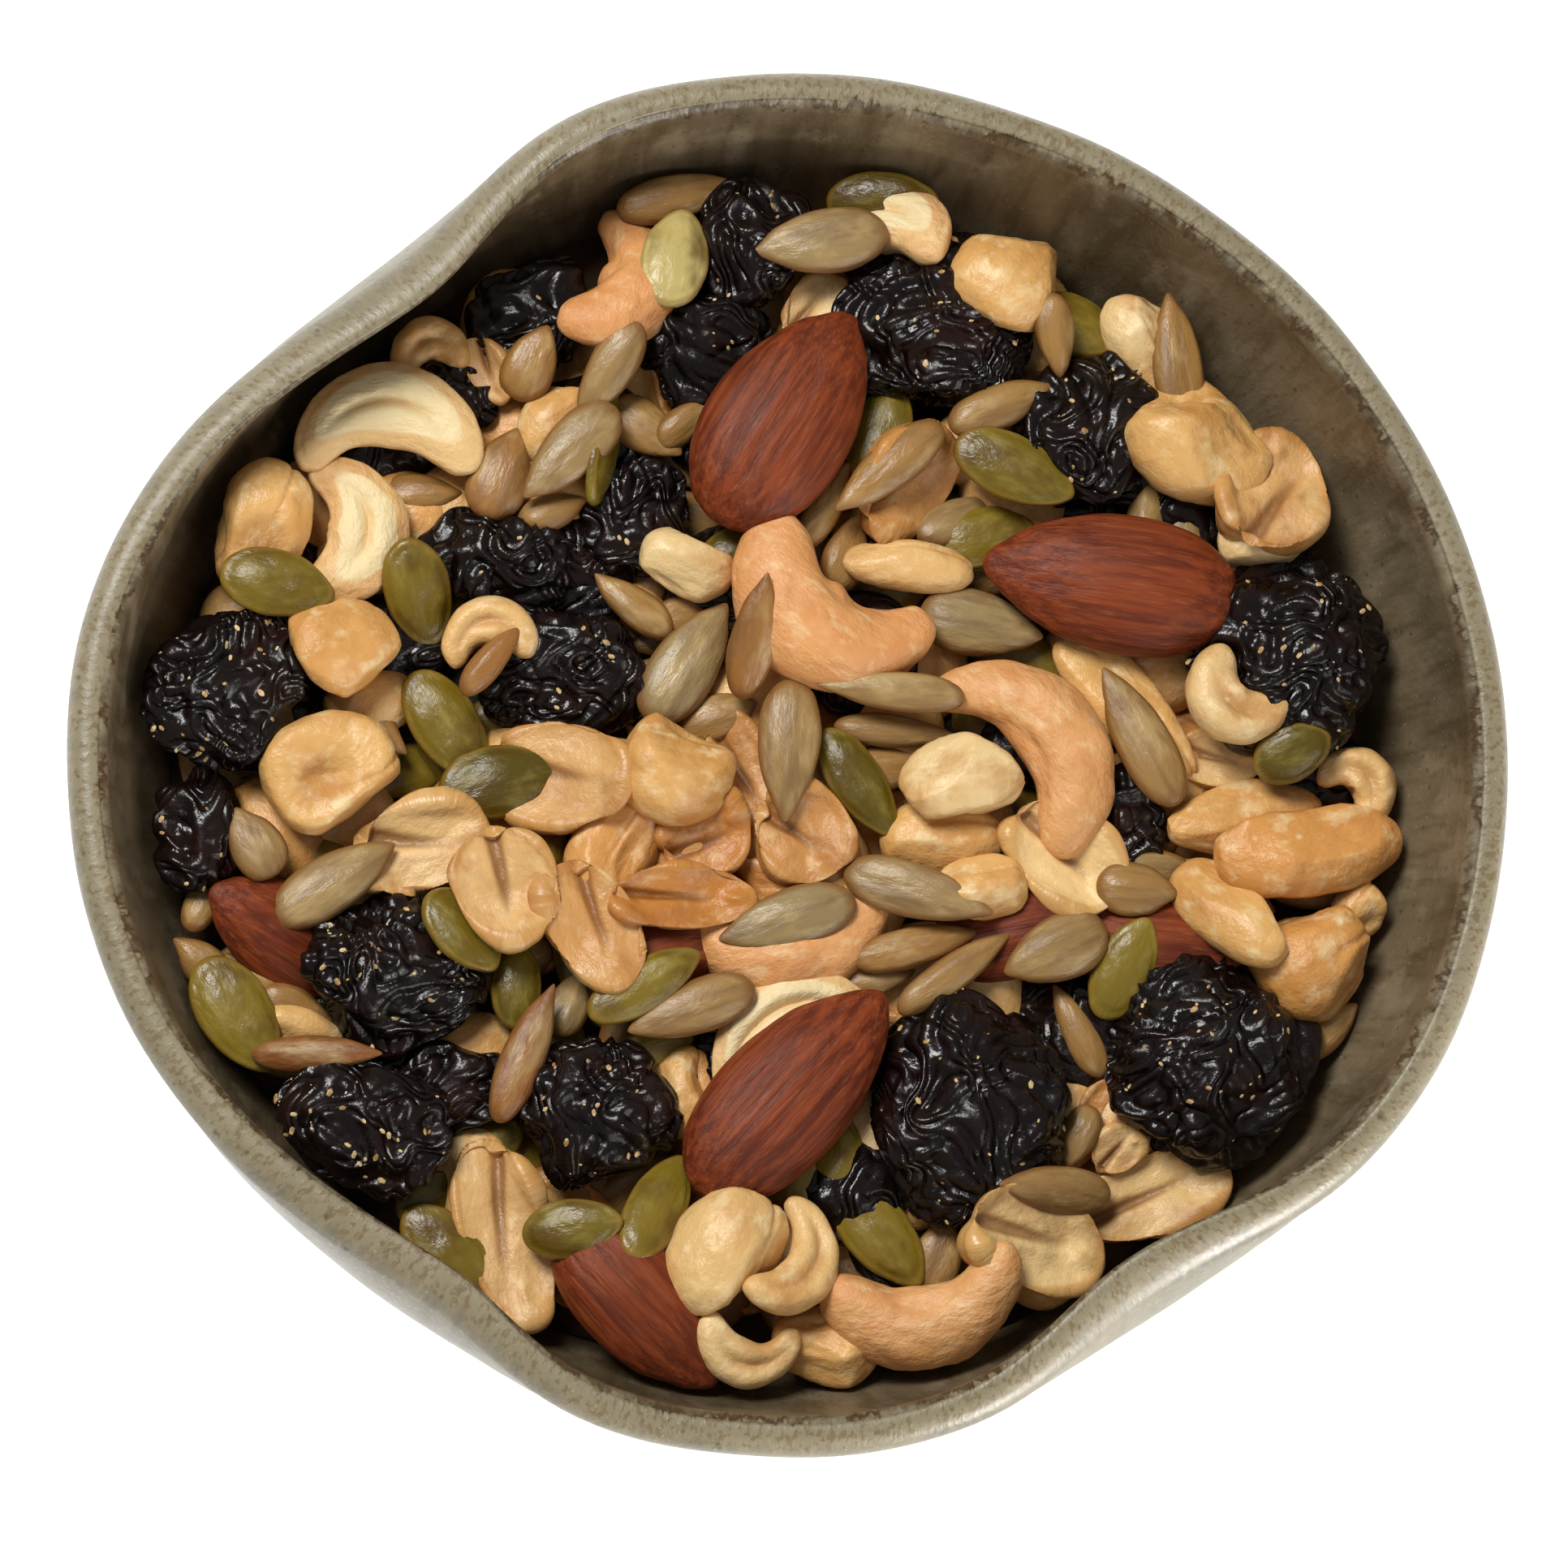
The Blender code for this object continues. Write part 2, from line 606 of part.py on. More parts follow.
def make_pieces(collection):
    """One closed mesh for each piece that shows, laid on the heap in turn."""
    surface = Surface()
    samples = sphere_points(*SAMPLES)
    for kind, number, row in laid_out():
        turn, place = settle(kind, number, row, surface, samples)
        shape = unit_sphere(*FACETS[kind])
        mesh = bpy.data.meshes.new(f"{kind}_{number}")
        shape.to_mesh(mesh)
        shape.free()
        unit = get_points(mesh) * MM
        form = piece_form(kind, number, row, unit) * FACET_SWELL
        set_points(mesh, form @ turn.T + place)
        if mesh_volume(mesh) < 0.0:
            mesh.flip_normals()
        collection.objects.link(bpy.data.objects.new(mesh.name, mesh))


def mesh_volume(mesh):
    """Signed volume of a closed mesh, in cubic metres."""
    solid = bmesh.new()
    solid.from_mesh(mesh)
    volume = solid.calc_volume(signed=True)
    solid.free()
    return volume


def fuse(core, pieces):
    """Join all pieces of a collection to the core, and keep only the one outer skin."""
    union = core.modifiers.new("fuse", 'BOOLEAN')
    union.operation = 'UNION'
    union.operand_type = 'COLLECTION'
    union.collection = pieces
    union.solver = 'MANIFOLD'
    freeze(core)
    for obj in list(pieces.objects):
        bpy.data.objects.remove(obj, do_unlink=True)
    keep_outer_skin(core.data)


def join_flat_facets(solid, angle):
    """Merge facets that meet almost flat, and leave triangles."""
    bmesh.ops.dissolve_limit(solid, angle_limit=angle, verts=solid.verts, edges=solid.edges)
    bmesh.ops.triangulate(solid, faces=solid.faces)
    for edge in [edge for edge in solid.edges if len(edge.link_faces) > 2]:
        turn_shared_diagonal(solid, edge)


def turn_shared_diagonal(solid, edge):
    """Cut one pair of triangles the other way where two pairs share a diagonal."""
    best = None
    for first in edge.link_loops:
        for second in edge.link_loops:
            if first.vert == second.vert:
                continue
            start, end = first.vert, second.vert
            left, right = first.link_loop_prev.vert, second.link_loop_prev.vert
            facing = first.face.normal + second.face.normal
            cuts = ((start, right, left), (right, end, left))
            flatness = min(normal([vert.co for vert in cut]).dot(facing) for cut in cuts)
            if best is None or flatness > best[0]:
                best = (flatness, cuts, (first.face, second.face))
    _, cuts, faces = best
    for face in faces:
        solid.faces.remove(face)
    for cut in cuts:
        solid.faces.new(cut)


def keep_outer_skin(mesh):
    """Drop sealed hollows and loose scraps, which leaves the largest shell."""
    solid = bmesh.new()
    solid.from_mesh(mesh)
    shells = []
    unseen = set(solid.faces)
    while unseen:
        front = [unseen.pop()]
        shell = set(front)
        while front:
            face = front.pop()
            for edge in face.edges:
                if len(edge.link_faces) == 2:
                    fresh = [other for other in edge.link_faces if other not in shell]
                    shell.update(fresh)
                    front.extend(fresh)
        unseen -= shell
        shells.append(shell)
    shells.sort(key=len, reverse=True)
    scraps = [face for shell in shells[1:] for face in shell]
    bmesh.ops.delete(solid, geom=scraps, context='FACES')
    for angle in FLAT_ENOUGH:
        plain = solid.copy()
        join_flat_facets(plain, math.radians(angle))
        plain.to_mesh(mesh)
        closed = all(len(edge.link_faces) == 2 for edge in plain.edges)
        plain.free()
        if closed:
            break
    solid.free()


def centre_on_origin(objects):
    """Put the middle of the bowl's outline, seen from above, on the Z axis."""
    points = get_points(objects[0].data)
    middle = (points.min(axis=0) + points.max(axis=0)) / 2.0
    middle[2] = 0.0
    for obj in objects:
        set_points(obj.data, get_points(obj.data) - middle)


def main():
    for obj in list(bpy.data.objects):
        bpy.data.objects.remove(obj, do_unlink=True)
    parts = bpy.data.collections.new("bowl_of_trail_mix")
    pieces = bpy.data.collections.new("loose_pieces")
    bpy.context.scene.collection.children.link(parts)
    bpy.context.scene.collection.children.link(pieces)
    bowl = make_bowl(parts)
    heap = make_core(parts)
    make_pieces(pieces)
    fuse(heap, pieces)
    bpy.data.collections.remove(pieces)
    heap.data.materials.clear()
    heap.data.materials.append(make_material("nuts_and_fruit", (0.33, 0.19, 0.09), 0.5))
    heap.data.shade_smooth()
    heap.data.set_sharp_from_angle(angle=math.radians(40.0))
    centre_on_origin([bowl, heap])


main()
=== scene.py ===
"""Looks of the bowl of trail mix: a hand-pressed glazed bowl, and every nut, raisin and seed in it.

The loose pieces are laid on the heap in the same order and by the same rule as in the
solid model, then each gets its fine shape.  Lengths are in millimetres until a mesh is made.
"""

import math

import bmesh
import bpy
import numpy as np
from mathutils import Matrix, Vector

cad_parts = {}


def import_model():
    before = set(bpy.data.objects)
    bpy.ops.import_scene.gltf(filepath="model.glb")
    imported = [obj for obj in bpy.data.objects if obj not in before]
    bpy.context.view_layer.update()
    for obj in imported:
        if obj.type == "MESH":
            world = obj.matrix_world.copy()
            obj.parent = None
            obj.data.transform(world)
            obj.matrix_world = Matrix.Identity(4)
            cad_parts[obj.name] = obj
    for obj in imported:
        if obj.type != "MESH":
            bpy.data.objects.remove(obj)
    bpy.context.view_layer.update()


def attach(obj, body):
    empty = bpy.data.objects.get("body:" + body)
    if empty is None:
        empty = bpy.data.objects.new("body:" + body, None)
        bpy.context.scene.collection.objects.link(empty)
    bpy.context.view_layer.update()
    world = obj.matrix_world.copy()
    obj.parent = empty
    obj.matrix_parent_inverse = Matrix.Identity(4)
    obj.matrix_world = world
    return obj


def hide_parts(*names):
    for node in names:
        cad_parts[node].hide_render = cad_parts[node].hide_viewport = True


MM = 0.001

# Bowl, as in the solid model
HEIGHT = 52.0
RIM_RADIUS = 67.2
FOOT_RADIUS = 34.0
FOOT_EDGE = 0.8
FOOT_RECESS_RADIUS = 26.0
FOOT_RECESS_DEPTH = 1.4
FOOT_INNER_SLOPE = 1.2
LIP = 4.2
WALL = 3.7
FLOOR = 7.0
FLOOR_RADIUS = 24.0
FLOOR_RISE = 1.2
BASE_SHARE = 0.52
WALL_TURN = math.radians(85.0)
OVAL = 1.2
OVAL_ANGLE = 5.0
PRESSES = (
    (130.0, 8.5, 16.0, 24.0, 24.0),
    (236.0, 5.5, 24.0, 12.0, 20.0),
    (304.0, 7.0, 15.0, 17.0, 20.0),
)
SOLID_SEGMENTS = 54
BOWL_SEGMENTS = 240
BOWL_SINK = 0.12
LIP_STEPS = 12
WALL_STEP = 2.0
WALL_TOP = 45.5
OUTER_FOOT = 3.0
INNER_FOOT = 12.0
DENT_DEPTH = 0.18
DENT_SPREAD = 16.0

# Heap, as in the solid model
HEAP_GAP = 0.3
WALL_CLEARANCE = 0.4
EDGE_LEVEL = 40.0
MOUND = 1.2
CORE_DROP = 2.2
LEVEL_LIFT = (-2.2, -0.4, 1.6, 3.0)
HIGHEST_TOP = 47.0
SEATED = 0.91
PRESS_TOGETHER = 0.9
MOST_SLIDE = 1.5
MOST_CLIMB = 2.5
CLIMB_STEP = 0.5
SLIDE_TURNS = 6
TILTS = (0.0, -12.0, 12.0, -24.0, 24.0)
TILT_COST = 0.02
FACET_SWELL = 1.06
CELL = 0.75
GRID_HALF = 72.0
SAMPLES = (56, 34)
THICKNESS = {
    "almond": 0.62,
    "raisin": 0.62,
    "cashew": 0.86,
    "curl": 0.95,
    "nut": 0.78,
    "split": 0.62,
    "pumpkin": 0.4,
    "sunflower": 0.52,
}
SEED_THICKNESS = 2.6
BENDS = {"cashew": 105.0, "curl": 125.0}
TAPERS = {"almond": (0.16, 0.30), "pumpkin": (0.10, 0.22), "sunflower": (0.26, 0.45)}
LAYOUT_ORIGIN = (1.2, 1.8)

# What lies below the pieces that show
TUCK_PITCH = 14.0
TUCK_ROLL = 20.0
TUCK_LIFT = 1.5
BETWEEN_NUMBER = 60
UNDER_NUMBER = 100
UNDER_DROP = 4.6
UNDER_SPACING = 7.5
UNDER_ROW_SHARE = 0.87
UNDER_STRAY = 1.5
UNDER_EDGE = 6.0
UNDER_SHARE = 0.35
UNDER_RELIEF = 0.25
UNDER_KINDS = ("sunflower", "nut", "split", "pumpkin", "raisin", "sunflower", "nut")
UNDER_SIZES = {
    "sunflower": (12.0, 5.2),
    "nut": (12.0, 9.5),
    "split": (13.0, 9.5),
    "pumpkin": (11.5, 6.2),
    "raisin": (14.0, 12.0),
}
LAYING_SEED = 5
INNER_CORE_DROP = 7.0
CORE_SEGMENTS = 96
CORE_RINGS = (0.25, 0.5, 0.75, 0.9)
CORE_STEP = 5.0
CORE_LOWEST = 10.0

# Crumbs on the raisins
CRUMBS = 290
CRUMB_SIZES = (0.2, 1.0)
CRUMB_SHAPE = {"Flake length": 1.0, "Flake width": 0.62, "Flake thickness": 0.25}
CRUMB_UPWARD = 0.55
CRUMB_LOWEST = EDGE_LEVEL + 1.0
CRUMB_SEED = 7
CRUMB_TURN_SEED = 3

# Sides round and steps along each finished piece.  Shorter almonds and raisins, and pieces
# that show less, get a smaller share of them
FINE = {
    "almond": (96, 72),
    "raisin": (84, 64),
    "cashew": (64, 72),
    "curl": (48, 56),
    "nut": (60, 44),
    "split": (64, 44),
    "pumpkin": (56, 40),
    "sunflower": (40, 32),
}
FULLY_FINE = {"almond": 16.0, "raisin": 15.4}
LESS_FINE = 0.7
UPPER_DENSITY = 0.45

# Camera, floor and lamps
LEAN_X = 6.5
LEAN_Y = 9.5
DISTANCE = 600.0
FOCAL_PIXELS = 7920.0
PICTURE = 1932.0
SENSOR = 36.0
TARGET_PIXEL = (968.0, 947.0)
FLOOR_GLOW = 0.7
FLOOR_HALF = 3000.0
FLOOR_DROP = 0.2
SKY = 0.22
LAMP_AIM = (0.0, 0.0, 0.04)
LAMPS = (
    ("window", (-0.34, 0.38, 0.80), 0.34, 7.9, (1.0, 0.99, 0.96)),
    ("fill", (0.44, -0.56, 0.34), 0.5, 2.2, (1.0, 0.98, 0.95)),
    ("low_side", (0.40, -0.50, 0.06), 0.2, 4.0, (1.0, 0.98, 0.95)),
)

# Every row is: x, y, heading, length, width, level, and a fixed roll if any
ALMONDS = (
    (1.0, 35.6, 58, 24.5, 14.0, 2),
    (32.5, 20.4, 172, 25.0, 13.4, 2),
    (1.6, -29.2, 47, 26.0, 12.6, 2),
    (-12.8, -52.0, -47, 20.5, 11.0, 1),
    (-46.0, -14.5, 152, 17.5, 10.0, 0),
    (38.5, -14.5, -5, 19.0, 10.0, 0),
    (23.5, -13.0, 12, 16.0, 9.0, 0),
    (-10.5, -15.8, 20, 15.0, 9.0, 0),
)
RAISINS = (
    (-2.0, 55.0, 60, 14.0, 12.0, 0),
    (-23.0, 46.0, 30, 13.0, 12.0, 0),
    (-6.5, 43.5, -20, 15.0, 13.0, 0),
    (15.6, 46.0, 10, 19.0, 17.0, 1),
    (30.8, 35.4, 60, 16.5, 14.5, 1),
    (-30.0, 38.0, 0, 9.0, 8.0, 0),
    (-25.8, 21.8, -10, 16.5, 10.5, 0),
    (-12.8, 26.2, 60, 13.0, 11.0, 0),
    (-53.0, 8.3, 50, 17.0, 15.0, 1),
    (-56.0, -5.6, 80, 12.0, 9.5, 0),
    (-20.0, 10.8, -5, 17.0, 14.0, 0),
    (-35.6, -18.4, -20, 17.0, 15.0, 1),
    (-39.8, -33.6, -15, 17.5, 13.0, 1),
    (-30.3, -29.0, 10, 12.0, 10.0, 0),
    (-16.8, -31.0, 90, 15.5, 15.0, 1),
    (18.8, -30.8, 100, 21.5, 19.5, 1),
    (42.4, -26.0, 20, 21.0, 20.0, 2),
    (54.0, 14.8, 80, 20.0, 19.0, 1),
    (34.6, -2.0, 100, 11.0, 8.0, 0),
)
CASHEWS = (
    (-14.4, 50.0, -111, 18.0, 8.0, 1),
    (-37.0, 34.8, 0, 20.0, 8.2, 2),
    (-39.6, 24.3, -90, 16.0, 8.0, 1),
    (4.5, 16.2, 145, 23.0, 10.6, 2),
    (25.6, 4.8, -53, 23.5, 8.6, 2),
    (14.6, -49.6, -168, 21.5, 8.2, 2),
    (2.2, -14.2, -170, 22.0, 8.6, 0),
    (11.0, 56.2, -5, 15.5, 7.6, 1),
    (1.0, -22.8, 30, 19.0, 6.4, 1),
)
CURLS = (
    (-27.4, 14.3, 10, 10.5, 4.8, 2),
    (57.2, 2.0, -45, 9.5, 5.0, 1),
    (-2.6, -53.8, 170, 11.5, 4.6, 1),
    (-33.2, 42.3, 20, 9.0, 4.6, 1),
    (44.0, 8.6, 145, 12.0, 6.4, 2),
    (2.2, -45.4, -118, 14.0, 5.2, 2),
)
NUTS = (
    (-15.2, -6.5, 60, 11.0, 8.4, 1),
    (41.3, 34.6, -25, 15.0, 12.6, 2),
    (-51.2, 25.0, 62, 13.2, 10.2, 1),
    (-41.0, 12.3, 12, 12.8, 10.0, 1),
    (-42.0, 0.6, 20, 13.0, 11.5, 2),
    (-8.2, 21.4, -8, 9.5, 7.0, 1),
    (-9.2, 1.4, 0, 11.4, 10.8, 2),
    (13.3, 22.0, -6, 12.8, 5.6, 2),
    (18.2, 0.9, 14, 12.4, 9.0, 2),
    (16.6, -4.6, 5, 12.0, 8.5, 0),
    (25.0, 54.2, 40, 13.0, 11.5, 1),
    (36.8, 45.0, -58, 11.0, 7.6, 1),
    (47.6, 25.4, 20, 9.0, 6.6, 1),
    (52.8, -15.6, 30, 12.6, 11.8, 1),
    (51.8, -5.2, 8, 20.0, 9.2, 2),
    (46.0, -1.6, 12, 17.5, 7.0, 0),
    (43.8, -11.4, -47, 14.0, 7.5, 1),
    (-4.5, -44.6, 58, 13.5, 11.0, 2),
    (5.8, -54.0, -10, 11.0, 8.0, 0),
    (-8.0, -29.0, 80, 9.0, 7.0, 0),
    (20.4, -9.4, 10, 9.5, 6.5, 1),
    (-21.0, 35.4, 62, 8.8, 6.0, 1),
    (34.5, 8.8, -46, 18.5, 7.5, 0),
)
SPLITS = (
    (-20.2, 0.6, -6, 14.8, 10.5, 1),
    (-33.4, -6.2, 18, 13.6, 8.8, 1),
    (-25.6, -10.3, -60, 11.4, 10.0, 2),
    (-6.4, -4.6, 30, 8.8, 8.4, 1),
    (3.0, -4.4, -60, 10.0, 9.4, 1),
    (28.2, -6.2, -40, 13.0, 9.5, 0),
    (52.0, 31.6, 78, 13.6, 11.0, 1),
    (13.2, 30.6, 52, 12.5, 9.6, 1, 35),
    (24.6, -42.8, -18, 15.0, 10.0, 1),
    (37.4, -38.6, 20, 16.0, 8.0, 0),
    (-17.3, -13.8, -58, 13.5, 8.5, 1),
    (-25.4, -43.0, -72, 18.6, 8.4, 1),
    (-8.8, -11.0, 2, 14.6, 6.2, 2),
    (-2.6, 0.8, -75, 14.5, 6.4, 0),
)
PUMPKIN_SEEDS = (
    (-9.6, 51.1, 78, 10.6, 6.6, 2),
    (23.2, 31.2, -24, 12.6, 6.4, 2),
    (20.8, 25.2, 14, 10.0, 5.8, 1),
    (-16.2, 32.8, 78, 12.2, 6.0, 1, 70),
    (-47.3, 18.0, -12, 11.0, 6.4, 2),
    (-33.8, 18.2, -72, 11.0, 6.4, 1),
    (-30.8, 5.6, -57, 12.4, 6.4, 2),
    (-25.9, 0.2, 12, 11.6, 7.0, 3),
    (8.3, 0.7, -56, 12.4, 5.2, 1),
    (49.8, 3.9, 26, 8.0, 5.4, 2),
    (-29.4, -14.4, -50, 9.6, 6.4, 1),
    (-12.3, -19.3, 31, 12.2, 5.0, 2),
    (-52.2, -23.2, -57, 12.4, 7.0, 2),
    (33.8, -16.8, 66, 10.6, 5.8, 1),
    (-19.0, -42.4, 8, 9.5, 5.6, 1),
    (-11.0, -40.2, 62, 12.6, 5.6, 1),
    (10.3, -42.0, -50, 13.0, 6.4, 1),
    (-30.4, -44.8, -44, 11.6, 6.0, 1),
)
SUNFLOWER_SEEDS = (
    (-9.5, 60.6, 15, 12.5, 4.4, 1),
    (4.4, 52.8, 190, 13.2, 6.2, 2),
    (42.0, 46.2, 97, 13.0, 4.8, 1),
    (-23.2, 40.8, 66, 7.8, 5.0, 1),
    (-16.0, 39.5, 240, 11.5, 4.4, 2),
    (-19.6, 31.8, 226, 12.6, 5.4, 3),
    (-26.0, 30.0, 70, 9.5, 5.8, 1),
    (22.0, 37.4, 24, 11.0, 4.4, 1),
    (27.1, 44.2, -82, 8.2, 3.8, 2),
    (11.0, 31.0, 220, 13.4, 4.6, 2),
    (5.4, 28.0, 62, 9.8, 3.4, 1),
    (20.4, 16.5, -10, 12.2, 6.4, 1),
    (-13.2, 17.8, 142, 9.4, 3.6, 1),
    (-8.0, 12.2, 57, 13.8, 6.4, 1),
    (-2.1, 14.0, 80, 12.6, 4.4, 3),
    (-27.0, 11.2, 51, 8.6, 3.0, 3),
    (11.0, 9.0, 176, 14.2, 3.8, 2),
    (12.0, 5.8, -4, 12.0, 3.2, 1),
    (1.4, 3.4, -93, 13.8, 5.8, 3),
    (35.4, 5.6, 118, 15.0, 5.4, 2),
    (-41.4, -9.8, 34, 13.4, 5.6, 2),
    (-49.0, -6.2, 120, 7.5, 5.0, 1),
    (1.3, -12.8, 197, 13.6, 5.6, 2),
    (13.8, -10.0, -17, 14.8, 5.2, 2),
    (35.0, -9.3, -5, 8.0, 5.2, 1),
    (27.0, -15.2, 205, 10.8, 6.2, 2),
    (13.8, -14.9, 14, 12.8, 3.8, 1),
    (17.3, -17.6, 36, 13.2, 3.6, 2),
    (29.6, -22.6, 118, 10.0, 3.4, 1),
    (-7.8, -21.5, 200, 12.8, 5.0, 2),
    (-23.4, -25.8, 68, 14.2, 4.2, 2),
    (-43.0, -26.3, 0, 12.4, 3.4, 2),
    (26.6, -38.2, 178, 12.4, 4.4, 2),
)
SOLID_ROWS = {
    "raisin": RAISINS,
    "almond": ALMONDS,
    "cashew": CASHEWS,
    "nut": NUTS,
    "split": SPLITS,
    "curl": CURLS,
    "pumpkin": PUMPKIN_SEEDS,
    "sunflower": SUNFLOWER_SEEDS,
}

# Small pieces that show between the others.  Every row is: x, y, heading, length, width, drop
BETWEEN = {
    "pumpkin": (
        (11.5, 61.8, 0, 11.0, 6.0, -1.0),
        (29.9, 46.3, -30, 9.0, 6.8, 1.0),
        (10.6, 35.2, 70, 10.5, 6.2, 1.0),
        (-27.8, -34.6, 25, 10.0, 6.0, 3.0),
        (-44.0, -7.6, 5, 10.0, 5.5, 3.0),
        (6.4, -34.6, 80, 7.5, 5.0, 1.5),
        (-24.2, -19.0, 90, 8.8, 4.8, 0.5),
        (-31.5, -39.4, 20, 8.0, 5.5, 2.0),
        (2.8, -37.4, 60, 7.0, 5.0, 2.0),
        (-11.0, -25.0, 20, 8.0, 5.0, 2.0),
        (-21.5, -5.5, 80, 7.0, 4.5, 2.5),
        (-3.5, 23.5, 30, 7.0, 4.5, 2.5),
        (42.5, 13.6, 60, 7.0, 4.5, 2.5),
    ),
    "sunflower": (
        (-12.0, 35.0, -35, 8.5, 5.0, 1.5),
        (-53.0, -10.4, 62, 9.0, 3.4, 1.5),
        (-49.6, -18.6, 150, 8.0, 4.5, 1.5),
        (-38.0, 5.8, -40, 9.0, 4.5, 2.5),
        (-33.5, 28.5, 0, 8.0, 4.0, 2.5),
        (-54.0, -17.6, 140, 7.5, 4.0, 1.0),
        (29.3, -33.0, 245, 7.0, 3.6, 0.5),
        (-21.0, 26.6, 20, 7.0, 3.5, 0.5),
        (-8.2, 35.6, 40, 7.0, 3.5, 1.0),
        (37.4, -6.8, 0, 8.0, 4.0, 2.0),
        (10.0, -17.8, 10, 8.0, 4.0, 2.0),
        (-44.8, -21.5, -20, 8.0, 4.0, 1.5),
        (36.9, 28.2, 80, 9.0, 4.0, 1.5),
        (40.3, 27.5, 95, 9.0, 4.0, 1.5),
        (16.0, -44.3, 70, 8.0, 5.0, 2.0),
        (18.0, 27.0, 30, 9.0, 4.5, 2.0),
        (7.5, 23.4, 70, 8.0, 4.5, 2.0),
        (11.4, 2.6, 10, 9.0, 4.5, 2.0),
        (-5.0, 7.2, 20, 8.0, 4.5, 2.0),
        (54.4, -22.4, 40, 8.0, 4.0, 1.0),
        (45.8, 28.4, 80, 8.0, 4.0, 2.0),
        (-4.8, -15.4, 20, 8.0, 4.5, 2.5),
        (-19.0, -20.6, 70, 7.0, 4.0, 2.0),
        (-8.0, 17.0, 20, 7.0, 4.0, 2.5),
    ),
    "split": (
        (43.4, 4.0, 0, 9.0, 6.0, 1.5),
        (-2.0, -9.2, -20, 8.0, 5.0, 1.5),
        (33.2, -34.0, 30, 5.5, 4.5, 0.5),
        (32.2, -30.2, 60, 7.0, 5.0, 1.0),
        (-27.4, 40.3, -58, 7.0, 4.0, 0.2),
        (4.3, 47.0, 60, 8.0, 6.0, 0.5),
    ),
    "nut": (
        (-44.6, -23.4, 0, 9.0, 4.5, 1.0),
        (57.0, -10.4, 60, 6.5, 5.5, 0.5),
        (-38.0, 8.0, 20, 9.0, 7.0, 3.0),
    ),
}

# How golden each piece of the lists above is, from pale cream at 0 to deep orange at 1
NUT_TONES = (
    0.8, 0.45, 0.6, 0.75, 0.45, 0.15, 0.6, 0.35, 0.15, 0.55, 0.6, 0.2,
    0.15, 0.85, 0.9, 0.7, 0.65, 0.3, 0.65, 0.65, 0.5, 0.45, 0.5,
)
SPLIT_TONES = (0.45, 0.3, 0.4, 0.75, 0.6, 0.15, 0.45, 0.6, 0.15, 0.3, 0.55, 0.4, 0.75, 0.6)
CASHEW_TONES = (0.95, 0.35, 0.45, 0.9, 0.8, 0.75, 0.85, 0.4, 0.4)
CURL_TONES = (0.35, 0.35, 0.2, 0.45, 0.2, 0.3)
PUMPKIN_TONES = (
    0.95, 0.35, 0.55, 0.3, 0.4, 0.45, 0.4, 0.1, 0.2, 0.15, 0.3, 0.5, 0.7, 0.6, 0.35, 0.55, 0.6, 0.4,
)
SUNFLOWER_TONES = (
    0.6, 0.2, 0.45, 0.7, 0.3, 0.25, 0.75, 0.4, 0.45, 0.5, 0.6, 0.1, 0.55, 0.15, 0.8, 0.8, 0.3,
    0.35, 0.3, 0.35, 0.25, 0.3, 0.1, 0.25, 0.4, 0.3, 0.7, 0.4, 0.45, 0.35, 0.9, 0.95, 0.35,
)
TONES = {
    "nut": NUT_TONES,
    "split": SPLIT_TONES,
    "cashew": CASHEW_TONES,
    "curl": CURL_TONES,
    "pumpkin": PUMPKIN_TONES,
    "sunflower": SUNFLOWER_TONES,
}
CUT_CASHEWS = (1, 2, 7, 8)
HOLLOW_NUTS = (2, 4)
NUT_FACES = 4


# Shape of the bowl and the heap

def outer_radius(z):
    """Radius of the plain turned bowl at a height, before its rim is pressed."""
    rise = np.sin(WALL_TURN * z / HEIGHT) / math.sin(WALL_TURN)
    return RIM_RADIUS * (BASE_SHARE + (1.0 - BASE_SHARE) * rise)


def inner_radius(z):
    """Radius of the bowl's inner face at a height, before its rim is pressed."""
    return outer_radius(z) - WALL


def plan_shift(angle, z):
    """How far the wall stands out (or in, where pressed) at an angle and height."""
    shift = OVAL * np.cos(2.0 * np.radians(angle - OVAL_ANGLE)) * np.clip(z / HEIGHT, 0.0, 1.0)
    for centre, depth, before, after, reach in PRESSES:
        turn = (angle - centre + 180.0) % 360.0 - 180.0
        spread = np.where(turn < 0.0, before, after)
        fade = np.clip(1.0 - (HEIGHT - z) / reach, 0.0, 1.0) ** 2
        shift = shift - depth * np.exp(-((turn / spread) ** 2)) * fade
    return shift


def press_plan(points):
    """Move points, an (n, 3) array, as the pressed and oval wall carries them."""
    radius = np.hypot(points[:, 0], points[:, 1])
    angle = np.degrees(np.arctan2(points[:, 1], points[:, 0]))
    share = np.clip(radius / inner_radius(points[:, 2]), 0.0, 1.0) ** 2
    scale = (radius + plan_shift(angle, points[:, 2]) * share) / np.maximum(radius, 1e-9)
    pressed = points.copy()
    pressed[:, 0] *= scale
    pressed[:, 1] *= scale
    return pressed


def solid_middle():
    """Middle of the solid bowl's outline seen from above, which sits on the Z axis."""
    angle = np.arange(SOLID_SEGMENTS) * 360.0 / SOLID_SEGMENTS
    radius = RIM_RADIUS + plan_shift(angle, HEIGHT - LIP / 2.0)
    across = radius * np.cos(np.radians(angle))
    along = radius * np.sin(np.radians(angle))
    return np.array([(across.min() + across.max()) / 2.0, (along.min() + along.max()) / 2.0, 0.0])


def heap_level(x, y):
    """Height at which the middle of a piece of the surface lies."""
    reach = np.hypot(x, y) / inner_radius(EDGE_LEVEL)
    return EDGE_LEVEL + MOUND * (1.0 - np.clip(reach, 0.0, 1.0) ** 2)


# Plain form of each kind of piece

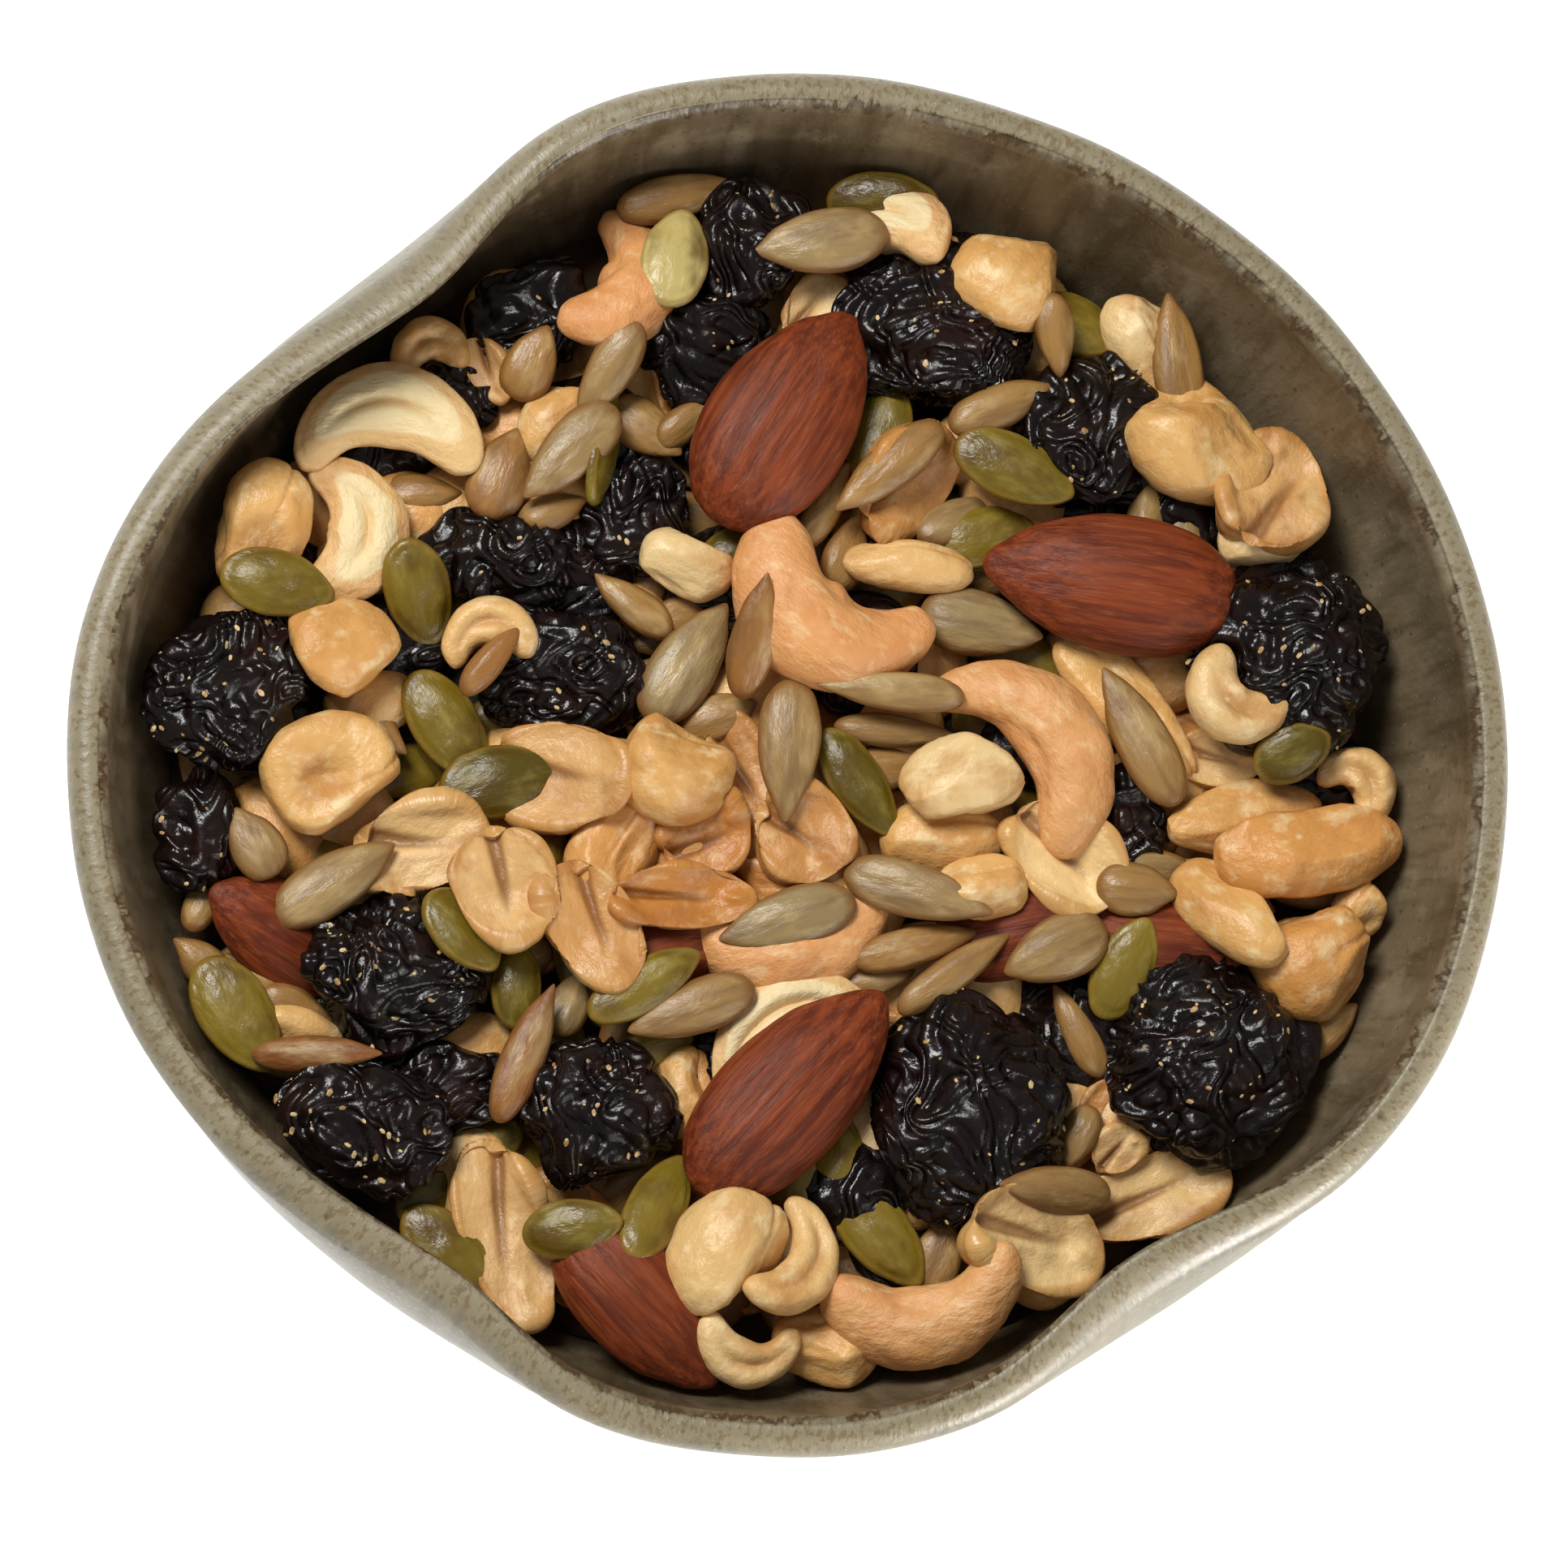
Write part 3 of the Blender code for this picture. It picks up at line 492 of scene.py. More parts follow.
def seed_form(unit, length, width, thick, lean, point):
    """A teardrop: almond, pumpkin seed or sunflower kernel."""
    along = unit[:, 0]
    girth = (1.0 - lean * along) * (1.0 - point * np.clip(along, 0.0, 1.0) ** 3)
    across = unit[:, 1] * girth * width / 2.0
    up = unit[:, 2] * girth * thick / 2.0
    return np.column_stack([along * length / 2.0, across, up])


def nut_form(unit, length, width, thick):
    """A plump whole nut, a little fuller than an ellipsoid."""
    ring = np.maximum(np.hypot(unit[:, 1], unit[:, 2]), 1e-6)
    girth = ring ** -0.18 * (1.0 - 0.08 * unit[:, 0])
    across = unit[:, 1] * girth * width / 2.0
    up = unit[:, 2] * girth * thick / 2.0
    return np.column_stack([unit[:, 0] * length / 2.0, across, up])


def split_form(unit, length, width, thick):
    """Half a nut, its flat face up and slightly dished."""
    ring = np.maximum(np.hypot(unit[:, 1], unit[:, 2]), 1e-6)
    across = unit[:, 1] * ring ** -0.12 * width / 2.0
    inside = np.clip(1.0 - (unit[:, 0] ** 2 + unit[:, 1] ** 2), 0.0, 1.0)
    face = thick * (0.16 - 0.30 * inside)
    rise = face * np.clip(unit[:, 2] * 4.0, 0.0, 1.0)
    up = np.where(unit[:, 2] > 0.0, rise, unit[:, 2] * thick * 0.8)
    return np.column_stack([unit[:, 0] * length / 2.0, across, up])


def bent_form(unit, length, width, thick, bend):
    """A cashew or curled nut: a full rod bent through an angle, bulging to +Y."""
    ring = np.maximum(np.hypot(unit[:, 1], unit[:, 2]), 1e-6)
    girth = ring ** -0.3 * (1.0 + 0.10 * unit[:, 0])
    half = math.radians(bend) / 2.0
    radius = (length - width) / (2.0 * math.sin(half))
    turn = unit[:, 0] * half * (1.0 + width / (2.0 * radius * half) * np.abs(unit[:, 0]) ** 3)
    out = radius + np.maximum(unit[:, 1] * girth * width / 2.0, -0.75 * radius)
    lift = radius * (1.0 + math.cos(half)) / 2.0
    up = unit[:, 2] * girth * thick / 2.0
    return np.column_stack([out * np.sin(turn), out * np.cos(turn) - lift, up])


def raisin_form(unit, length, width, thick, number):
    """A shrunken, lumpy fruit.  Its number in the list sets where the lumps lie."""
    swell = np.ones(len(unit))
    for wave in range(1, 5):
        lean = np.array([math.sin(number * 2.1 + wave), math.cos(number * 1.3 + wave * 2.0),
                         math.sin(number * 0.7 + wave * 3.0)])
        swell += 0.045 * np.sin(unit @ lean * (2.0 + wave) + number + wave)
    return unit * swell[:, None] * np.array([length, width, thick]) / 2.0


def piece_form(kind, number, row, unit):
    """A piece's surface in its own frame, for points of a unit sphere with X lengthwise."""
    length, width = row[3], row[4]
    thick = max(width * THICKNESS[kind], SEED_THICKNESS)
    if kind == "raisin":
        return raisin_form(unit, length, width, thick, number)
    if kind == "nut":
        return nut_form(unit, length, width, thick)
    if kind == "split":
        return split_form(unit, length, width, thick)
    if kind in BENDS:
        return bent_form(unit, length, width, thick, BENDS[kind])
    return seed_form(unit, length, width, thick, *TAPERS[kind])


# Laying the pieces on the heap

def sphere_points(segments, rings):
    """The vertices of a unit sphere with its poles on X, as an (n, 3) array."""
    sphere = bmesh.new()
    bmesh.ops.create_uvsphere(sphere, u_segments=segments, v_segments=rings, radius=1.0)
    bmesh.ops.rotate(sphere, verts=sphere.verts, matrix=Matrix.Rotation(math.radians(90.0), 3, 'Y'))
    points = np.array([vert.co[:] for vert in sphere.verts])
    sphere.free()
    return points


def turn_matrix(heading, pitch, roll):
    """Roll about the length, then nose up or down, then heading, as a 3 by 3 array."""
    turn = Matrix.Rotation(math.radians(heading), 3, 'Z')
    turn = turn @ Matrix.Rotation(math.radians(-pitch), 3, 'Y')
    turn = turn @ Matrix.Rotation(math.radians(roll), 3, 'X')
    return np.array(turn)


def slide_inside(points):
    """How far a piece has to move in X and Y for all of it to clear the wall."""
    shift = np.zeros(2)
    for _ in range(SLIDE_TURNS):
        place = points[:, :2] + shift
        radius = np.hypot(place[:, 0], place[:, 1])
        angle = np.degrees(np.arctan2(place[:, 1], place[:, 0]))
        wall = inner_radius(points[:, 2])
        room = wall + plan_shift(angle, points[:, 2]) - WALL_CLEARANCE - radius
        worst = int(np.argmin(room))
        if room[worst] >= 0.0:
            break
        shift += place[worst] / radius[worst] * room[worst]
    return shift


class Surface:
    """The top of the heap so far, as a grid of heights."""

    def __init__(self):
        count = int(2.0 * GRID_HALF / CELL) + 1
        line = np.linspace(-GRID_HALF, GRID_HALF, count)
        across, along = np.meshgrid(line, line, indexing="ij")
        self.height = heap_level(across, along) - CORE_DROP
        self.piece_height = np.full_like(self.height, -1.0)

    def cells(self, points):
        return (np.rint((points[:, :2] + GRID_HALF) / CELL).astype(int)).T

    def rest(self, points, height):
        """The lift at which a piece's points are seated on a grid of heights."""
        column, row = self.cells(points)
        return float(np.quantile(height[column, row] - points[:, 2], SEATED))

    def add(self, points):
        column, row = self.cells(points)
        np.maximum.at(self.height, (column, row), points[:, 2])
        np.maximum.at(self.piece_height, (column, row), points[:, 2])


def settle(kind, number, row, surface, samples):
    """Lay one piece on the heap.  Returns its turn and its place."""
    x = row[0] - LAYOUT_ORIGIN[0]
    y = row[1] - LAYOUT_ORIGIN[1]
    level = row[5]
    body = piece_form(kind, number, row, samples)
    rolls = (row[6],) if len(row) > 6 else TILTS
    best = None
    for pitch in TILTS:
        for roll in rolls:
            turn = turn_matrix(row[2], pitch, roll)
            points = body @ turn.T + np.array([x, y, 0.0])
            lift = surface.rest(points, surface.piece_height) - PRESS_TOGETHER
            lift = max(lift, float(heap_level(x, y)) + LEVEL_LIFT[level])
            cost = lift + TILT_COST * (abs(pitch) + abs(roll))
            if best is None or cost < best[0]:
                best = (cost, lift, turn, points)
    _, lift, turn, points = best
    ground = surface.rest(points, surface.height) - PRESS_TOGETHER
    lift = min(lift, ground, HIGHEST_TOP - float(points[:, 2].max()))
    place = np.array([x, y, lift])
    turned_body = body @ turn.T
    highest = min(lift + MOST_CLIMB, HIGHEST_TOP - float(turned_body[:, 2].max()))
    slide = slide_inside(turned_body * FACET_SWELL + place)
    while np.hypot(*slide) > MOST_SLIDE and place[2] + CLIMB_STEP < highest:
        place[2] += CLIMB_STEP
        slide = slide_inside(turned_body * FACET_SWELL + place)
    place[:2] += slide
    surface.add(turned_body + place)
    return turn, place


def tuck(kind, number, row, samples, chance):
    """Lay one piece between or below the others, a given drop under the surface."""
    x = row[0] - LAYOUT_ORIGIN[0]
    y = row[1] - LAYOUT_ORIGIN[1]
    pitch = chance.uniform(-TUCK_PITCH, TUCK_PITCH)
    turn = turn_matrix(row[2], pitch, chance.uniform(-TUCK_ROLL, TUCK_ROLL))
    body = piece_form(kind, number, row, samples) @ turn.T
    place = np.array([x, y, float(heap_level(x, y)) + LEVEL_LIFT[0] + TUCK_LIFT - row[5]])
    place[:2] += slide_inside(body * FACET_SWELL + place)
    return turn, place


# Noise and meshes

def noise(points, seed):
    """Smooth noise, about -1 to 1, with one hill to each unit of length."""
    chance = np.random.default_rng(seed)
    slopes = chance.normal(size=(256, 3))
    slopes /= np.linalg.norm(slopes, axis=1)[:, None]
    order = np.tile(chance.permutation(256), 2)
    cell = np.floor(points).astype(int)
    part = points - cell
    fade = part ** 3 * (part * (part * 6.0 - 15.0) + 10.0)
    total = np.zeros(len(points))
    for corner in np.ndindex(2, 2, 2):
        spot = (cell + corner) % 256
        index = order[order[order[spot[:, 0]] + spot[:, 1]] + spot[:, 2]]
        slope = slopes[index]
        weight = np.prod(np.where(np.array(corner) == 1, fade, 1.0 - fade), axis=1)
        total += weight * np.sum(slope * (part - corner), axis=1)
    return total * 1.7


def sphere_net(around, along):
    """Points of a unit sphere with its poles on X, closer on its upper side, with its faces."""
    turn = np.linspace(0.0, math.pi, along + 1)[1:-1]
    spin = np.linspace(0.0, 2.0 * math.pi, around, endpoint=False)
    spin = np.tile(spin + UPPER_DENSITY * np.cos(spin), along - 1)
    girth = np.repeat(np.sin(turn), around)
    along_x = np.repeat(np.cos(turn), around)
    sides = np.column_stack([along_x, girth * np.cos(spin), girth * np.sin(spin)])
    points = np.vstack([[1.0, 0.0, 0.0], sides, [-1.0, 0.0, 0.0]])
    step = np.arange(around)
    after = (step + 1) % around
    last = 1 + (along - 2) * around
    tip = np.column_stack([np.zeros(around, int), 1 + step, 1 + after])
    back = np.column_stack([last + step, np.full(around, len(points) - 1), last + after])
    rows = (1 + np.arange(along - 2) * around)[:, None]
    nexts = rows + around
    quads = np.stack([rows + step, nexts + step, nexts + after, rows + after], axis=2)
    return points, np.vstack([tip, back]), quads.reshape(-1, 4)


def normals_at(points, ends, quads):
    """Outward direction at each point of a closed net."""
    normals = np.zeros_like(points)
    a, b, c = (points[ends[:, k]] for k in range(3))
    facing = np.cross(b - a, c - a)
    for k in range(3):
        np.add.at(normals, ends[:, k], facing)
    a, b, c, d = (points[quads[:, k]] for k in range(4))
    facing = np.cross(c - a, d - b)
    for k in range(4):
        np.add.at(normals, quads[:, k], facing)
    return normals / np.maximum(np.linalg.norm(normals, axis=1), 1e-12)[:, None]


def make_mesh(name, points, faces, material, attributes):
    """A smooth mesh object from millimetre points, with named values kept on its points."""
    mesh = bpy.data.meshes.new(name)
    mesh.from_pydata((points * MM).tolist(), [], faces)
    for title, values in attributes.items():
        if values.ndim == 2:
            layer = mesh.attributes.new(title, 'FLOAT_VECTOR', 'POINT')
            layer.data.foreach_set("vector", values.astype(np.float32).ravel())
        else:
            layer = mesh.attributes.new(title, 'FLOAT', 'POINT')
            layer.data.foreach_set("value", values.astype(np.float32))
    mesh.materials.append(material)
    mesh.shade_smooth()
    mesh.update()
    obj = bpy.data.objects.new(name, mesh)
    bpy.context.scene.collection.objects.link(obj)
    return obj


# Fine relief of each kind: how far the skin stands out in millimetres, and a mask of what is
# marked on it.  The second number given to each noise is its seed

def almond_detail(form, unit, row, number):
    ridges = noise(form * (0.07, 0.62, 0.62) + number * 7.0, 11)
    fine = noise(form * (0.16, 1.5, 1.5) + number * 5.0, 12)
    fade = np.clip(1.3 - np.abs(unit[:, 0]) ** 6, 0.0, 1.0)
    return (0.16 * ridges + 0.06 * fine) * fade, 0.5 + 0.5 * ridges


def raisin_detail(form, unit, row, number):
    """Folds that run side by side and wander, like the level lines of a hilly map."""
    place = form + number * 31.0
    warp = np.column_stack([noise(place / 8.0, 21), noise(place / 8.0, 22), noise(place / 8.0, 23)])
    broad = noise((place + warp * 2.0) / 8.0, 24)
    level = noise((place + warp * 3.0) / 7.0, 25) * 7.5 + noise(place / 3.5, 26) * 0.9
    folds = np.abs(np.cos(level)) ** 1.4
    relief = 0.75 * broad + 0.80 * folds - 0.95
    # The folds mask also colours the skin: lighter on the crests and darker in the troughs, which
    # is painted shade
    return relief, folds


def cashew_detail(form, unit, row, number):
    relief = 0.30 * noise(form / 3.8 + number * 9.0, 31)
    relief += 0.07 * noise(form / 1.2 + number * 3.0, 32)
    if number not in CUT_CASHEWS:
        groove = np.exp(-((unit[:, 1] + 0.75) / 0.16) ** 2)
        groove *= np.clip(1.0 - unit[:, 0] ** 2, 0.0, 1.0)
        return relief - 0.5 * groove, np.zeros(len(unit))
    cut = np.clip((unit[:, 2] - 0.12) / 0.12, 0.0, 1.0)
    groove = np.exp(-((unit[:, 1] / 0.22) ** 2)) * np.clip(1.2 - unit[:, 0] ** 2 * 1.6, 0.0, 1.0)
    drop = (np.abs(unit[:, 2]) * 0.45 * row[4] * THICKNESS["cashew"] / 2.0) * 0.9 + 0.9 * groove
    pale = np.clip((unit[:, 2] - 0.42) / 0.16, 0.0, 1.0)
    # The groove in the cut face is left less pale than the face round it, which is painted shade
    return relief * 0.6 - cut * drop, pale * (1.0 - 0.5 * groove)


def curl_detail(form, unit, row, number):
    relief = 0.16 * noise(form / 2.2 + number * 9.0, 34)
    hollow = np.exp(-((unit[:, 1] + 0.1) / 0.45) ** 2) * np.clip(unit[:, 2], 0.0, 1.0) ** 2
    # The hollow mask also darkens the curl's inside in the finish, which is painted shade
    return relief - 0.22 * row[4] * hollow, hollow


def nut_detail(form, unit, row, number):
    """Broken faces, a seam, and on some a hollow where the other half came away."""
    chance = np.random.default_rng(number)
    relief = 0.34 * noise(form / 4.8 + number * 9.0, 41)
    relief += 0.08 * noise(form / 1.4 + number * 4.0, 42)
    for _ in range(NUT_FACES):
        facing = chance.normal(size=3)
        facing /= np.linalg.norm(facing)
        relief -= np.clip(unit @ facing - 0.66, 0.0, 1.0) * 0.42 * row[4]
    side = unit[:, 1] * math.cos(number * 1.7) + unit[:, 2] * math.sin(number * 1.7)
    seam = np.exp(-((side / 0.06) ** 2)) * np.clip(unit[:, 0] + 0.6, 0.0, 1.0)
    hollow = np.zeros(len(unit))
    if number in HOLLOW_NUTS:
        centre = np.array([-0.3, -0.25, 0.92])
        hollow = np.exp(-(((1.0 - unit @ (centre / np.linalg.norm(centre))) / 0.14) ** 2))
    # The mask carries the seam, a real dark joint, and the hollow, which the finish darkens as
    # painted shade
    return relief - 0.26 * seam - 0.11 * row[4] * hollow, np.clip(seam * 0.6 + hollow, 0.0, 1.0)


def split_detail(form, unit, row, number):
    """An uneven edge round a shallow creased face, with the nub of the germ at one end."""
    chance = np.random.default_rng(number + 40)
    plan = np.hypot(unit[:, 0], unit[:, 1])
    upper = np.clip(unit[:, 2] * 6.0, 0.0, 1.0)
    face = upper * np.clip((0.96 - plan) / 0.14, 0.0, 1.0)
    relief = 0.75 * noise(form / 5.5 + number * 9.0, 51) + 0.10 * noise(form / 1.4 + number, 52)
    relief += 0.10 * row[4] * np.clip(1.0 - plan ** 2, 0.0, 1.0) * upper
    turn = chance.uniform(-0.6, 0.6)
    side = unit[:, 1] * math.cos(turn) + unit[:, 0] * math.sin(turn) - chance.uniform(-0.2, 0.2)
    crease = np.exp(-((side / 0.15) ** 2)) * face * np.clip(0.7 - unit[:, 0], 0.0, 1.0)
    bite = np.exp(-(((unit[:, 0] + 0.9) / 0.3) ** 2 + (side / 0.25) ** 2))
    angle = np.arctan2(unit[:, 1], unit[:, 0]) - chance.uniform(0.0, 2.0 * math.pi)
    rolled = np.exp(-(((plan - 0.92) / 0.14) ** 2)) * upper * np.clip(np.cos(angle), 0.0, 1.0)
    relief += 0.06 * row[4] * rolled + 0.05 * row[4] * np.sin(3.0 * angle) * plan ** 2
    nub = np.exp(-((((unit[:, 0] - 0.72) / 0.15) ** 2 + (unit[:, 1] / 0.2) ** 2))) * upper
    relief += 0.6 * nub - 0.75 * crease - 0.09 * row[4] * bite
    # The crease part of the mask darkens the carved crease in the finish, which is painted shade
    return relief, face * (1.0 - 0.6 * nub) + crease


def pumpkin_detail(form, unit, row, number):
    plan = np.hypot(unit[:, 0], unit[:, 1])
    rim = np.exp(-(((plan - 0.94) / 0.05) ** 2))
    trough = np.exp(-(((plan - 0.83) / 0.06) ** 2))
    relief = 0.12 * noise(form / 2.6 + number * 9.0, 61)
    return relief + 0.04 * rim - 0.07 * trough, rim


def sunflower_detail(form, unit, row, number):
    ridges = noise(form * (0.08, 0.42, 0.42) + number * 7.0, 71)
    fine = noise(form * (0.25, 0.9, 0.9) + number * 5.0, 72)
    fade = np.clip(1.2 - np.abs(unit[:, 0]) ** 4, 0.0, 1.0)
    edge = np.exp(-(((np.hypot(unit[:, 0], unit[:, 1]) - 1.0) / 0.16) ** 2))
    return (0.20 * ridges + 0.10 * fine) * fade, edge


DETAILS = {
    "almond": almond_detail,
    "raisin": raisin_detail,
    "cashew": cashew_detail,
    "curl": curl_detail,
    "nut": nut_detail,
    "split": split_detail,
    "pumpkin": pumpkin_detail,
    "sunflower": sunflower_detail,
}


def under_rows(chance):
    """Pieces of every kind at random just below the ones that show."""
    rows = []
    half = int(inner_radius(EDGE_LEVEL) / UNDER_SPACING) + 1
    for column in range(-half, half + 1):
        for line in range(-half, half + 1):
            x = (column + 0.5 * (line % 2)) * UNDER_SPACING
            x += chance.uniform(-UNDER_STRAY, UNDER_STRAY)
            y = line * UNDER_SPACING * UNDER_ROW_SHARE + chance.uniform(-UNDER_STRAY, UNDER_STRAY)
            if math.hypot(x, y) < inner_radius(EDGE_LEVEL) - UNDER_EDGE:
                kind = UNDER_KINDS[int(chance.integers(len(UNDER_KINDS)))]
                drop = UNDER_DROP + chance.uniform(-0.8, 1.5)
                place = (x + LAYOUT_ORIGIN[0], y + LAYOUT_ORIGIN[1], chance.uniform(0.0, 360.0))
                rows.append((kind, (*place, *UNDER_SIZES[kind], drop)))
    return rows


def laid_pieces():
    """Every piece's kind, number, row, tone, turn, place and share of the full fineness."""
    samples = sphere_points(*SAMPLES)
    surface = Surface()
    chance = np.random.default_rng(LAYING_SEED)
    laid = []
    order = []
    for kind, rows in SOLID_ROWS.items():
        order += [(kind, number, row) for number, row in enumerate(rows)]
    order.sort(key=lambda piece: piece[2][5])
    for kind, number, row in order:
        tone = TONES[kind][number] if kind in TONES else chance.uniform(0.2, 0.8)
        turn, place = settle(kind, number, row, surface, samples)
        share = 1.0 if row[3] >= FULLY_FINE.get(kind, 0.0) else LESS_FINE
        laid.append((kind, number, row, tone, turn, place, share))
    for kind, rows in BETWEEN.items():
        for number, row in enumerate(rows, BETWEEN_NUMBER):
            turn, place = tuck(kind, number, row, samples, chance)
            laid.append((kind, number, row, chance.uniform(0.15, 0.7), turn, place, LESS_FINE))
    for number, (kind, row) in enumerate(under_rows(chance), UNDER_NUMBER):
        turn, place = tuck(kind, number, row, samples, chance)
        laid.append((kind, number, row, chance.uniform(0.2, 0.8), turn, place, UNDER_SHARE))
    return laid


def make_kind(kind, laid, middle, material):
    """All the pieces of one kind, as one mesh."""
    points, faces, own, tones, marks = [], [], [], [], []
    count = 0
    for _, number, row, tone, turn, place, share in (piece for piece in laid if piece[0] == kind):
        around, along = (max(12, int(size * share)) for size in FINE[kind])
        unit, ends, quads = sphere_net(around, along)
        form = piece_form(kind, number, row, unit)
        relief, mark = DETAILS[kind](form, unit, row, number)
        relief = relief * (1.0 if share > UNDER_SHARE else UNDER_RELIEF)
        shaped = form + normals_at(form, ends, quads) * relief[:, None]
        points.append(shaped @ turn.T + place - middle)
        faces += (ends + count).tolist() + (quads + count).tolist()
        own.append(form + number * 13.0)
        tones.append(np.full(len(unit), tone))
        marks.append(mark)
        count += len(unit)
    attributes = {
        "own_place": np.vstack(own),
        "tone": np.concatenate(tones),
        "mark": np.concatenate(marks),
    }
    return make_mesh(kind + "_pieces", np.vstack(points), faces, material, attributes)


# Materials

def colour(code):
    """A '#rrggbb' colour as linear red, green, blue and alpha."""
    linear = []
    for k in (1, 3, 5):
        part = int(code[k:k + 2], 16) / 255.0
        linear.append(part / 12.92 if part <= 0.04045 else ((part + 0.055) / 1.055) ** 2.4)
    return (*linear, 1.0)


def add(tree, kind, inputs=None, **settings):
    """A node with its settings and its unlinked input values."""
    made = tree.nodes.new(kind)
    for title, value in settings.items():
        setattr(made, title, value)
    for socket, value in (inputs or {}).items():
        made.inputs[socket].default_value = value
    return made


def mix(tree, share, first, second):
    """A colour mix.  Each side is a colour code or an output socket."""
    made = add(tree, "ShaderNodeMix", data_type='RGBA')
    for socket, side in ((made.inputs[6], first), (made.inputs[7], second)):
        if isinstance(side, str):
            socket.default_value = colour(side)
        else:
            tree.links.new(side, socket)
    if isinstance(share, float):
        made.inputs[0].default_value = share
    else:
        tree.links.new(share, made.inputs[0])
    return made.outputs[2]


def ramp(tree, source, low, high, first=0.0, last=1.0):
    """A value spread smoothly from first to last while the source goes from low to high."""
    made = add(tree, "ShaderNodeMapRange", {1: low, 2: high, 3: first, 4: last},
               interpolation_type='SMOOTHSTEP')
    tree.links.new(source, made.inputs[0])
    return made.outputs[0]


def maths(tree, operation, first, second):
    """Two values put together.  Each is a number or an output socket."""
    made = add(tree, "ShaderNodeMath", operation=operation)
    for socket, side in ((made.inputs[0], first), (made.inputs[1], second)):
        if isinstance(side, float):
            socket.default_value = side
        else:
            tree.links.new(side, socket)
    return made.outputs[0]


def attribute(tree, title, vector=False):
    """A value kept on the mesh's points."""
    made = add(tree, "ShaderNodeAttribute", attribute_name=title)
    return made.outputs["Vector" if vector else "Fac"]


def new_group(title, values):
    """An empty shader group that takes a place and named values, and puts out a mask."""
    group = bpy.data.node_groups.new(title, 'ShaderNodeTree')
    group.interface.new_socket(name="Place", in_out='INPUT', socket_type='NodeSocketVector')
    for name in values:
        group.interface.new_socket(name=name, in_out='INPUT', socket_type='NodeSocketFloat')
    group.interface.new_socket(name="Mask", in_out='OUTPUT', socket_type='NodeSocketFloat')
    return group, add(group, "NodeGroupInput"), add(group, "NodeGroupOutput")


def grain_group():
    """Noise drawn out lengthwise: skin streaks, ridges or blotches on a piece."""
    group, enter, leave = new_group("skin_grain", ("Lengthwise", "Crosswise", "Detail"))
    scale = add(group, "ShaderNodeCombineXYZ")
    group.links.new(enter.outputs["Lengthwise"], scale.inputs[0])
    group.links.new(enter.outputs["Crosswise"], scale.inputs[1])
    group.links.new(enter.outputs["Crosswise"], scale.inputs[2])
    spread = add(group, "ShaderNodeVectorMath", operation='MULTIPLY')
    group.links.new(enter.outputs["Place"], spread.inputs[0])
    group.links.new(scale.outputs[0], spread.inputs[1])
    cloud = add(group, "ShaderNodeTexNoise", {"Scale": 1.0, "Roughness": 0.6})
    group.links.new(spread.outputs[0], cloud.inputs["Vector"])
    group.links.new(enter.outputs["Detail"], cloud.inputs["Detail"])
    group.links.new(cloud.outputs[0], leave.inputs["Mask"])
    return group


def speck_group():
    """Small separate spots: glaze pinholes, painted highlight flecks on roasted nuts, or crumbs of
    skin.
    """
    group, enter, leave = new_group("specks", ("Spots", "Size"))
    cells = add(group, "ShaderNodeTexVoronoi", {"Randomness": 1.0})
    group.links.new(enter.outputs["Place"], cells.inputs["Vector"])
    group.links.new(enter.outputs["Spots"], cells.inputs["Scale"])
    near = add(group, "ShaderNodeMapRange", {2: 0.0, 3: 0.0, 4: 1.0},
               interpolation_type='SMOOTHSTEP')
    group.links.new(cells.outputs["Distance"], near.inputs[0])
    group.links.new(enter.outputs["Size"], near.inputs[1])
    group.links.new(near.outputs[0], leave.inputs["Mask"])
    return group


def wrinkle_group():
    """Fine folds side by side, along the level lines of a noise, as on shrunken skin."""
    group, enter, leave = new_group("wrinkles", ("Hills", "Lines"))
    cloud = add(group, "ShaderNodeTexNoise", {"Detail": 1.0, "Distortion": 0.4})
    group.links.new(enter.outputs["Place"], cloud.inputs["Vector"])
    group.links.new(enter.outputs["Hills"], cloud.inputs["Scale"])
    level = maths(group, 'MULTIPLY', cloud.outputs[0], enter.outputs["Lines"])
    folds = maths(group, 'ABSOLUTE', maths(group, 'SINE', level, 0.0), 0.0)
    group.links.new(folds, leave.inputs["Mask"])
    return group


